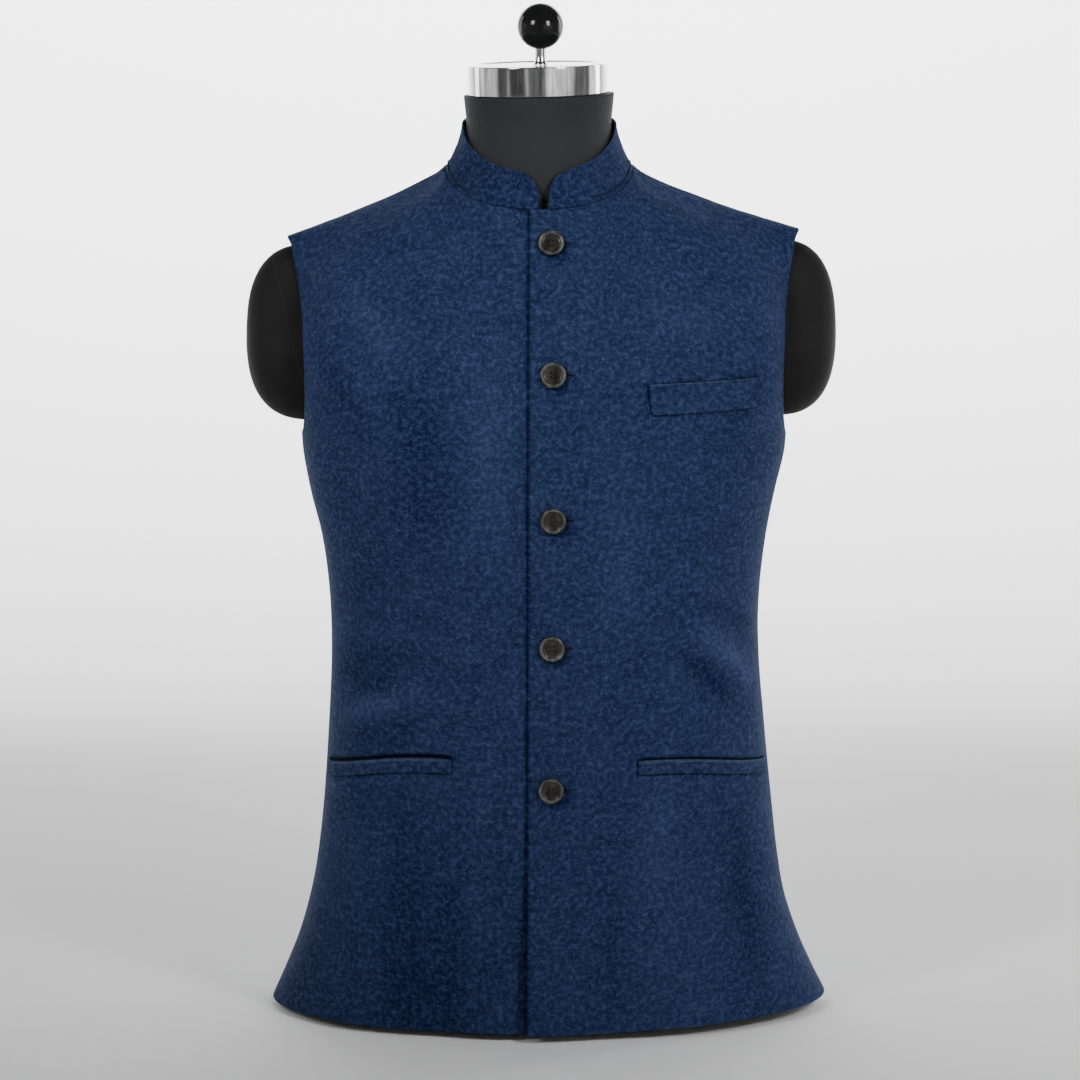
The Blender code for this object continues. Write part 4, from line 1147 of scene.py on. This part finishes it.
def collar_grid():
    """Outer points of the collar, normals, flat lengths and painted light and shade, from its left
    end.
    """
    start = math.atan2(COLLAR_END_GAP_LEFT - NECK_SHIFT, NECK_FRONT_DEPTH)
    finish = 2 * math.pi - math.atan2(COLLAR_END_GAP_RIGHT + NECK_SHIFT, NECK_FRONT_DEPTH)
    fine = np.linspace(start, finish, 2400)
    steps = np.linalg.norm(np.diff(neck_point(wrap(fine)), axis=0), axis=1)
    arcs = np.concatenate(((0.0,), np.cumsum(steps)))
    whole = arcs[-1]
    ends = COLLAR_CORNER * (np.linspace(0.0, 1.0, COLLAR_ROWS) ** 2.0)
    middle = np.linspace(COLLAR_CORNER, whole - COLLAR_CORNER, COLLAR_COLUMNS)
    stops = np.concatenate((ends[:-1], middle, whole - ends[::-1][1:]))
    turn = wrap(np.interp(stops, arcs, fine))
    left = np.minimum(stops, whole - stops)
    behind = smooth(np.abs(turn) / (math.pi * 0.62))
    full = COLLAR_HEIGHT_FRONT + (COLLAR_HEIGHT_BACK - COLLAR_HEIGHT_FRONT) * behind
    near = np.minimum(left / COLLAR_CORNER, 1.0)
    curve = np.sqrt(np.maximum(1.0 - (1.0 - near) ** 2, 0.0))
    corner = COLLAR_END_HEIGHT + (full - COLLAR_END_HEIGHT) * curve
    height = np.where(left >= COLLAR_CORNER, full, corner)
    rows = []
    for share in np.linspace(0.0, 1.0, COLLAR_ROWS):
        rise = np.minimum(height * share / COLLAR_HEIGHT_BACK, 1.0)
        bend = 1.0 - (1.0 - rise) ** COLLAR_LEAN_POWER
        inset = collar_lean(turn) * bend - COLLAR_PROUD
        inset = inset - 0.0006 * math.sin(math.pi * share) * np.sin(stops * 60.0 + 1.0)
        point = neck_point(turn, inset)
        point[:, 2] = neck_height(turn) + COLLAR_LIFT + height * share
        rows.append(point)
    points = np.stack(rows)
    lengths = np.stack((np.tile(stops, (len(rows), 1)), points[..., 2]), axis=2)
    # Painted light and shade on the collar: darker overall and paler towards the wearer's left,
    # painted shadow along its seam, painted highlight on its top edge
    painted_light = np.tile(-0.35 + 0.2 * np.sin(turn), (len(rows), 1))
    painted_light[0] -= 1.6
    painted_light[-1] += 0.5
    return points, row_normals(points), lengths, painted_light


def seam_band():
    """Narrow band of seam allowance behind the collar's seam."""
    turn = wrap(np.linspace(0.145, 2 * math.pi - 0.035, 200))
    rows = []
    for rise in np.linspace(-0.0035, 0.0045, 5):
        point = neck_point(turn, 0.0009 + 0.10 * max(rise, 0.0))
        point[:, 2] += rise
        rows.append(point)
    return np.stack(rows)


def wrap(angle):
    """Angles between minus half a turn and half a turn."""
    return np.arctan2(np.sin(angle), np.cos(angle))


def welt_grid(welt, across_steps, low=0.0, high=1.0, lift=0.0):
    """Outer points of a welt's band between two shares of its height."""
    side = 1 if welt.x_inner > 0 else -1
    below = 1.0 - np.linspace(low, high, WELT_ROWS)[:, None]
    across = np.linspace(0.0, 1.0, across_steps)[None, :]
    first = welt.x_inner + side * welt.slant * below
    x = first + (welt.x_outer - first) * across
    z = (welt.z_inner - welt.height * below) + (welt.z_outer - welt.z_inner) * across
    z = z + welt.bow * 4 * across * (1 - across)
    x, z = np.broadcast_arrays(x, z)
    points, normals = cloth_point(x, z, LAYER_GAP + 0.0002 + WELT_THICKNESS + lift)
    return points, normals, np.stack((np.abs(x) * side, z), axis=2)


# Thread

def stitch_tree(name):
    """Tree that sets short thread stitches along a line, each turned across or along it."""
    tree, given, out = new_group(
        name, "GeometryNodeTree",
        (
            ("Geometry", "Geometry"),
            ("Pitch", "Float", 0.003),
            ("Length", "Float", 0.0016),
            ("Radius", "Float", 0.00025),
            ("Turn", "Float", 0.0),
            ("Unevenness", "Float", 0.12),
            ("Seed", "Int", 4),
            ("Finish", "Material"),
        ),
        (("Geometry", "Geometry"),),
    )
    line = add_node(tree, "GeometryNodeMeshToCurve", {"Mesh": given["Geometry"]}).outputs[0]
    spacing = {"Curve": line, "Length": given["Pitch"]}
    places = add_node(tree, "GeometryNodeCurveToPoints", spacing, mode="LENGTH").outputs
    sizes = {"Vertices": 6, "Side Segments": 4, "Fill Segments": 1,
             "Radius": given["Radius"], "Depth": given["Length"]}
    bar = add_node(tree, "GeometryNodeMeshCylinder", sizes).outputs["Mesh"]
    spot = add_node(tree, "GeometryNodeInputPosition").outputs[0]
    height = add_node(tree, "ShaderNodeSeparateXYZ", {0: spot}).outputs[2]
    along = calculate(tree, "DIVIDE", height, given["Length"])
    squared = product(tree, product(tree, along, along), 3.0)
    thin = calculate(tree, "SUBTRACT", 1.0, squared)
    wide = add_node(tree, "ShaderNodeCombineXYZ", {0: thin, 1: thin, 2: 1.0}).outputs[0]
    shrink = {0: spot, 1: wide}
    tapered = add_node(tree, "ShaderNodeVectorMath", shrink, operation="MULTIPLY").outputs[0]
    moved = {"Geometry": bar, "Position": tapered}
    bar = add_node(tree, "GeometryNodeSetPosition", moved).outputs[0]
    low = calculate(tree, "SUBTRACT", given["Turn"], given["Unevenness"])
    high = total(tree, given["Turn"], given["Unevenness"])
    limits = {2: low, 3: high, "Seed": given["Seed"]}
    turn = add_node(tree, "FunctionNodeRandomValue", limits, data_type="FLOAT").outputs[1]
    about = {"Axis": (0.0, 1.0, 0.0), "Angle": turn}
    about = add_node(tree, "FunctionNodeAxisAngleToRotation", about).outputs[0]
    turned = {"Rotation": places["Rotation"], "Rotate By": about}
    spin = add_node(
        tree, "FunctionNodeRotateRotation", turned, rotation_space="LOCAL"
    ).outputs[0]
    set_out = {"Points": places["Points"], "Instance": bar, "Rotation": spin}
    placed = add_node(tree, "GeometryNodeInstanceOnPoints", set_out).outputs[0]
    solid = add_node(tree, "GeometryNodeRealizeInstances", {"Geometry": placed}).outputs[0]
    finish = {"Geometry": solid, "Material": given["Finish"]}
    dressed = add_node(tree, "GeometryNodeSetMaterial", finish).outputs[0]
    tree.links.new(dressed, out["Geometry"])
    return tree


def sew(name, tree, lines, finish, values):
    """Plain mesh of the stitches along lines of points."""
    vertices = []
    edges = []
    for line in lines:
        first = len(vertices)
        vertices += [tuple(point) for point in line]
        edges += [(first + i, first + i + 1) for i in range(len(line) - 1)]
    mesh = bpy.data.meshes.new(name + "_line")
    mesh.from_pydata(vertices, edges, [])
    guide = bpy.data.objects.new(name + "_line", mesh)
    bpy.context.scene.collection.objects.link(guide)
    modifier = guide.modifiers.new("stitches", "NODES")
    modifier.node_group = tree
    sockets = tree.interface.items_tree
    names = {item.name: item.identifier for item in sockets if item.in_out == "INPUT"}
    for key, value in values.items():
        modifier[names[key]] = value
    modifier[names["Finish"]] = finish
    made = settled_mesh(guide)
    bpy.data.objects.remove(guide)
    if not made.polygons:
        raise RuntimeError(name + " has no stitches")
    return add_piece(name, made)


# Building the pieces

wool_group = make_wool_group()
wool = wool_material("navy_wool", wool_group)
wool_inside = wool_material(
    "navy_wool_inside", wool_group,
    {"Deep": (0.0030, 0.0090, 0.0260, 1.0), "Pale": (0.0190, 0.0300, 0.0700, 1.0)},
)
# Paler copy of the wool: painted highlight on the welts' top edges
welt_edge_highlight_wool = wool_material(
    "navy_wool_painted_highlight", wool_group,
    {"Deep": (0.0200, 0.0330, 0.0750, 1.0), "Pale": (0.0700, 0.0950, 0.1800, 1.0)},
)
horn = horn_material()
thread = thread_material()
# Dark sheets as painted shadow in pocket mouths and buttonholes
depth = shadow_material()
jersey = jersey_material(
    "black_jersey", (0.0190, 0.0198, 0.0210, 1.0), (0.0370, 0.0382, 0.0400, 1.0), 0.0
)
# Darker copy of the jersey: painted shade on the arm pieces
arm_jersey_painted_shade = jersey_material(
    "black_jersey_painted_shade", (0.0080, 0.0081, 0.0080, 1.0), (0.0165, 0.0166, 0.0162, 1.0), 0.10
)
chrome = chrome_material()
gloss = gloss_material()
stitches = stitch_tree("short_stitches")


def build_panels():
    """Fronts, back and collar as thin shells."""
    panels = (
        ("front_right", front_grid(-1), WALL, "jersey_torso", PANEL_ALLOWANCE),
        ("front_left", front_grid(1), WALL, "jersey_torso", PANEL_ALLOWANCE),
        ("back", back_grid(), WALL, "jersey_torso", PANEL_ALLOWANCE),
        ("collar", collar_grid(), COLLAR_WALL, "cloth_back", TRIM_ALLOWANCE),
    )
    for node, (points, normals, lengths, painted_light), wall, rests_on, allowance in panels:
        piece = make_shell(
            "cloth_" + node, points, normals, lengths, wall, wool, wool_inside, painted_light
        )
        place_piece(piece, [node])
    points = seam_band()
    piece = make_shell(
        "collar_seam", points, row_normals(points), points[..., (0, 2)], 0.0006,
        wool_inside, wool_inside,
    )
    place_piece(piece, [])


def build_welts():
    """Welts of the pockets, each with a painted highlight on its top edge and a dark sheet over it as
    the painted shadow in the pocket's mouth.
    """
    for welt in WELTS:
        grid = welt_grid(welt, 70)
        piece = make_shell("cloth_" + welt.name, *grid, WELT_THICKNESS, wool, wool_inside)
        place_piece(piece, [welt.name])
        paint_top_highlight(piece, welt_edge_highlight_wool)
        top = 1.0 + welt.mouth / welt.height
        # Dark sheet over the welt: painted shadow in the pocket's mouth
        grid = welt_grid(welt, 60, 0.96, top, -WELT_THICKNESS + 0.0002)
        piece = make_shell("mouth_" + welt.name, *grid, 0.0004, depth, depth)
        place_piece(piece, [])


def drilled_button():
    """Mesh of a dished button with four holes, its rim marked for a painted highlight."""
    rim = BUTTON_RADIUS - 0.0022
    top = BUTTON_THICKNESS
    profile = rounded(
        [(0.0, 0.0), (BUTTON_RADIUS * 0.86, 0.0), (BUTTON_RADIUS, top * 0.38),
         (BUTTON_RADIUS, top * 0.68), (BUTTON_RADIUS * 0.93, top), (rim, top),
         (rim * 0.80, top - 0.0018), (0.0, top - 0.0022)], 0.0006,
    )
    blank = bpy.data.objects.new("button_blank", lathe("button_blank", profile, 72, horn))
    bpy.context.scene.collection.objects.link(blank)
    drill = bmesh.new()
    for x in (-HOLE_PLACE, HOLE_PLACE):
        for y in (-HOLE_PLACE, HOLE_PLACE):
            bmesh.ops.create_cone(
                drill, cap_ends=True, segments=20, radius1=HOLE_RADIUS, radius2=HOLE_RADIUS,
                depth=0.02, matrix=Matrix.Translation((x, y, 0.0)),
            )
    drill_mesh = bpy.data.meshes.new("drill")
    drill.to_mesh(drill_mesh)
    drill.free()
    cutter = bpy.data.objects.new("drill", drill_mesh)
    bpy.context.scene.collection.objects.link(cutter)
    cut = blank.modifiers.new("holes", "BOOLEAN")
    cut.object = cutter
    cut.operation = "DIFFERENCE"
    cut.solver = "EXACT"
    drilled = settled_mesh(blank)
    bpy.data.objects.remove(blank)
    bpy.data.objects.remove(cutter)
    reach = np.array([vertex.co.xy.length for vertex in drilled.vertices])
    # Mask of the rim for the painted highlight
    painted_rim_highlight = smooth((reach - rim * 0.84) / (rim * 0.12)) * smooth((BUTTON_RADIUS - reach) / 0.0014)
    drilled.attributes.new("rim", "FLOAT", "POINT").data.foreach_set("value", painted_rim_highlight)
    return drilled


def button_place(x, z, angle):
    """Matrix that lays a button on the cloth."""
    centre, normal = cloth_point(np.array([x]), np.array([z]), LAYER_GAP)
    facing = Vector(normal[0])
    sideways = Vector((1.0, 0.0, 0.0))
    sideways = (sideways - facing * sideways.dot(facing)).normalized()
    turn = Matrix((sideways, facing.cross(sideways), facing)).transposed().to_4x4()
    spin = Matrix.Rotation(math.radians(angle), 4, "Z")
    return Matrix.Translation(Vector(centre[0])) @ turn @ spin


def thread_bars(place):
    """Two pairs of thread arches over a button's holes."""
    bars = []
    for y in (-HOLE_PLACE, HOLE_PLACE):
        for shift in (-THREAD_SHIFT, THREAD_SHIFT):
            arch = []
            for i in range(9):
                t = i / 8
                rise = BUTTON_THICKNESS - 0.0019 + 0.0005 * math.sin(math.pi * t)
                rise = rise - 0.0012 * (abs(2 * t - 1) ** 6)
                arch.append(place @ Vector((-0.0018 + 0.0036 * t, y + shift, rise)))
            bars.append(arch)
    return bars


def build_buttons():
    """Dished horn buttons with four holes, their thread and their buttonholes."""
    drilled = drilled_button()
    sewing = {"Pitch": 0.00042, "Length": 0.00075, "Radius": 0.00026, "Unevenness": 0.05}
    for number, (x, z) in enumerate(BUTTONS, start=1):
        place = button_place(x, z, BUTTON_TURNS[number - 1])
        mesh = drilled.copy()
        mesh.transform(place)
        piece = add_piece(f"horn_button_{number}", mesh)
        mesh.set_sharp_from_angle(angle=math.radians(50))
        place_piece(piece, [f"button_{number}"])
        name = f"button_thread_{number}"
        piece = sew(name, stitches, thread_bars(place), thread, {**sewing, "Seed": number})
        place_piece(piece, [])
    sewing = {"Pitch": 0.00045, "Length": 0.0016, "Radius": 0.00022, "Turn": math.pi / 2}
    narrow = np.array((0.0, 0.0, 0.0002))
    wide = np.array((0.0, 0.0, 0.0010))
    for number, (x, z) in enumerate(BUTTONS, start=1):
        # Dark sheet in each buttonhole's slit: painted shadow
        slot_x = np.linspace(x - 0.004, x + BUTTONHOLE_REACH, 24)
        slit, normal = cloth_point(slot_x, np.full_like(slot_x, z), 0.00012)
        grid = np.stack((slit - narrow, slit, slit + narrow))
        normals = np.stack((normal, normal, normal))
        piece = make_shell(
            f"buttonhole_{number}", grid, normals, grid[..., (0, 2)], 0.0001, depth, depth
        )
        place_piece(piece, [])
        above = slit + wide + normal * 0.00015
        under = slit - wide + normal * 0.00015
        end = slit[-1] + np.array((0.0010, 0.0, 0.0)) + normal[-1] * 0.00015
        ring = np.concatenate((above, [end], under[::-1]))
        name = f"buttonhole_thread_{number}"
        piece = sew(name, stitches, [ring], thread, {**sewing, "Seed": 20 + number})
        place_piece(piece, [])


def refine(node, name, finish):
    """Finer copy of a solid's mesh with its sharp edges kept."""
    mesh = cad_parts[node].data.copy()
    shape = bmesh.new()
    shape.from_mesh(mesh)
    bmesh.ops.remove_doubles(shape, verts=shape.verts, dist=MERGE_DISTANCE)
    flat = [edge for edge in shape.edges if len(edge.link_faces) == 2
            and edge.calc_face_angle() < math.radians(0.2)]
    bmesh.ops.dissolve_edges(shape, edges=flat, use_verts=False)
    crease = shape.edges.layers.float.new("crease_edge")
    for edge in shape.edges:
        if len(edge.link_faces) == 2 and edge.calc_face_angle() > math.radians(50):
            edge[crease] = 1.0
    shape.to_mesh(mesh)
    shape.free()
    mesh.materials.clear()
    mesh.materials.append(finish)
    piece = add_piece(name, mesh)
    divide = piece.modifiers.new("smooth", "SUBSURF")
    divide.levels = 2
    divide.render_levels = 2
    fine = settled_mesh(piece)
    piece.modifiers.clear()
    piece.data = fine
    return place_piece(piece, [node])


def place_key(vertex):
    """Order of corners by height, then from front to back and from right to left."""
    return vertex.co.z, vertex.co.y, vertex.co.x


def seam_round(mesh, through, facing):
    """Closed line round a solid where a plane cuts it, from its lowest point."""
    shape = bmesh.new()
    shape.from_mesh(mesh)
    whole = [*shape.verts, *shape.edges, *shape.faces]
    cut = bmesh.ops.bisect_plane(shape, geom=whole, plane_co=through, plane_no=facing)["geom_cut"]
    edges = {item for item in cut if isinstance(item, bmesh.types.BMEdge)}
    ends = [vertex for edge in edges for vertex in edge.verts]
    here = min(ends, key=place_key)
    line = []
    while edges:
        line.append(here.co.copy())
        joined = [edge for edge in here.link_edges if edge in edges]
        if not joined:
            break
        nearest = min(joined, key=lambda edge: place_key(edge.other_vert(here)))
        edges.discard(nearest)
        here = nearest.other_vert(here)
    shape.free()
    return [*line, line[0]]


def add_turned(name, profile, sides, finish, place, node):
    """Turned piece of the dress form's cap, laid at its place."""
    mesh = lathe(name, profile, sides, finish)
    mesh.transform(place)
    place_piece(add_piece(name, mesh), [node])


def build_form():
    """Dress form under its jersey cover, with its chrome cap and black ball."""
    torso = refine("form_torso", "jersey_torso", jersey)
    for vertex in torso.data.vertices:
        vertex.co.z -= CAP_DROP * float(smooth((vertex.co.z - NECK_TOP + 0.03) / 0.03))
    for side, (upper, lower) in ARM_SEAMS.items():
        arm = refine("arm_cap_" + side, "jersey_arm_" + side, arm_jersey_painted_shade)
        run = Vector((lower[0] - upper[0], 0.0, lower[1] - upper[1]))
        line = seam_round(arm.data, (upper[0], 0.0, upper[1]), run.cross((0.0, 1.0, 0.0)))
        sewing = {"Pitch": 0.0017, "Length": 0.0021, "Radius": 0.0005, "Unevenness": 0.04}
        piece = sew("arm_seam_" + side, stitches, [line], jersey, {**sewing, "Seed": 31})
        place_piece(piece, [])
    top = BAND_HEIGHT - 0.0010
    band = rounded(
        [(0.0, 0.0), (BAND_RADIUS, 0.0), (BAND_RADIUS, BAND_HEIGHT),
         (BAND_RADIUS - 0.0028, BAND_HEIGHT), (BAND_RADIUS - 0.0040, top), (0.0, top)], 0.0008,
    )
    foot = Vector((NECK_CENTRE_X - CAP_SHIFT, NECK_CENTRE_Y, NECK_TOP + CAP_GAP - CAP_DROP))
    leaning = Matrix.Translation(foot) @ Matrix.Rotation(-BAND_TILT, 4, "Y")
    add_turned("chrome_band", band, 160, chrome, leaning, "neck_band")
    stand = NECK_TOP + top + 2 * CAP_GAP - CAP_DROP
    centre = Matrix.Translation((NECK_CENTRE_X + SPINDLE_OFFSET, NECK_CENTRE_Y, stand))
    rod = rounded(
        [(0.0, 0.0), (0.0060, 0.0), (0.0058, 0.0010), (0.0049, 0.0030), (0.0044, 0.0070),
         (0.0044, SPINDLE_HEIGHT), (0.0, SPINDLE_HEIGHT)], 0.0008,
    )
    add_turned("chrome_spindle", rod, 48, chrome, centre, "spindle")
    ball = [(0.0, 0.0)]
    for i in range(1, 48):
        turn = math.pi * i / 48
        ball.append((BALL_RADIUS * math.sin(turn), BALL_RADIUS * (1.0 - math.cos(turn))))
    ball.append((0.0, 2 * BALL_RADIUS))
    raised = centre @ Matrix.Translation((0.0, 0.0, SPINDLE_HEIGHT - 0.0012))
    add_turned("lacquer_ball", ball, 96, gloss, raised, "finial_ball")


# Room, light and camera

def room_material():
    """Pale paint with a faint unevenness."""
    made, tree = new_material("pale_room", {"Specular IOR Level": 0.0})
    tone = noise(tree, object_place(tree), 1.5, 2.0)
    colour = blend_colours(tree, tone, (0.93, 0.93, 0.93, 1.0), (0.96, 0.96, 0.96, 1.0))
    join_shader(tree, colour, ramp(tree, tone, -2.0, 1.6))
    behind = add_node(tree, "ShaderNodeNewGeometry").outputs["Backfacing"]
    clear = add_node(tree, "ShaderNodeBsdfTransparent").outputs[0]
    sides = {0: behind, 1: tree.nodes["Principled BSDF"].outputs[0], 2: clear}
    shown = add_node(tree, "ShaderNodeMixShader", sides).outputs[0]
    tree.links.new(shown, tree.nodes["Material Output"].inputs["Surface"])
    return made


def add_strip(name, pairs, finish):
    """Strip of faces between pairs of points."""
    mesh = bpy.data.meshes.new(name)
    faces = [(2 * i, 2 * i + 1, 2 * i + 3, 2 * i + 2) for i in range(len(pairs) - 1)]
    mesh.from_pydata([point for pair in pairs for point in pair], [], faces)
    mesh.materials.append(finish)
    return add_piece(name, mesh)


def build_room():
    """Pale floor that curves up into a wall behind."""
    profile = [(-6.0, 0.0), (1.2, 0.0)]
    for i in range(1, 13):
        turn = math.pi / 2 * i / 12
        profile.append((1.2 + 1.2 * math.sin(turn), 1.2 - 1.2 * math.cos(turn)))
    profile.append((2.4, 4.0))
    pairs = [((-6.0, y, z - 0.0005), (6.0, y, z - 0.0005)) for y, z in profile]
    add_strip("room", pairs, room_material())


def screen_material():
    """Softly glowing screen with brighter and darker upright bands."""
    made, tree = new_material("studio_screen", {"Emission Color": (1.0, 1.0, 1.0, 1.0)})
    streak = noise(tree, stretched(tree, object_place(tree), (5.0, 5.0, 0.8)), 1.0, 3.0)
    glow = product(tree, attribute(tree, "glow"), ramp(tree, streak, 0.15, 0.65))
    tree.links.new(glow, tree.nodes["Principled BSDF"].inputs["Emission Strength"])
    colour = blend_colours(tree, streak, (0.01, 0.01, 0.01, 1.0), (0.03, 0.03, 0.03, 1.0))
    join_shader(tree, colour, ramp(tree, streak, 0.0, 0.01))
    return made


def build_screen():
    """Low curved screen round the camera, which the chrome reflects as upright streaks."""
    azimuths = np.arange(-165.0, 150.5, 1.5)
    glow = np.interp(azimuths, *np.array(SCREEN).T)
    turn = np.radians(azimuths)
    ring = np.stack((np.sin(turn), -np.cos(turn)), axis=1) * SCREEN_DISTANCE
    pairs = [((x, y, 0.0), (x, y, SCREEN_HEIGHT)) for x, y in ring]
    screen = add_strip("studio_screen", pairs, screen_material())
    band = screen.data.attributes.new("glow", "FLOAT", "POINT")
    band.data.foreach_set("value", np.repeat(glow, 2))
    screen.visible_camera = False


def add_light(name, place, aim, size, power, spread):
    """Soft square light aimed at a point."""
    lamp = bpy.data.lights.new(name, "AREA")
    lamp.shape = "RECTANGLE"
    lamp.size, lamp.size_y = size
    lamp.energy = power
    lamp.spread = math.radians(spread)
    made = bpy.data.objects.new(name, lamp)
    made.location = place
    made.rotation_euler = (Vector(aim) - Vector(place)).to_track_quat("-Z", "Y").to_euler()
    made.visible_camera = False
    bpy.context.scene.collection.objects.link(made)


def build_lights():
    """Soft studio light, stronger from the wearer's left and the front."""
    for row in LIGHTS:
        add_light(*row)
    world = bpy.data.worlds.new("studio")
    world.use_nodes = True
    tree = world.node_tree
    sky = tree.nodes["Background"].inputs
    sky["Color"].default_value = (1.0, 1.0, 1.0, 1.0)
    seen = add_node(tree, "ShaderNodeLightPath").outputs["Is Camera Ray"]
    glow = total(tree, product(tree, seen, 1.2), 0.10)
    tree.links.new(glow, sky["Strength"])
    bpy.context.scene.world = world


def build_camera():
    """Camera at the photo's place."""
    lens = bpy.data.cameras.new("camera")
    lens.sensor_width = 36.0
    lens.lens = 138.4
    made = bpy.data.objects.new("camera", lens)
    made.location = (-0.0033, -3.4, 0.957)
    made.rotation_euler = (math.radians(90.0 - 9.4), 0.0, 0.0)
    bpy.context.scene.collection.objects.link(made)
    bpy.context.scene.camera = made


build_panels()
build_welts()
build_buttons()
build_form()
build_room()
build_screen()
build_lights()
build_camera()
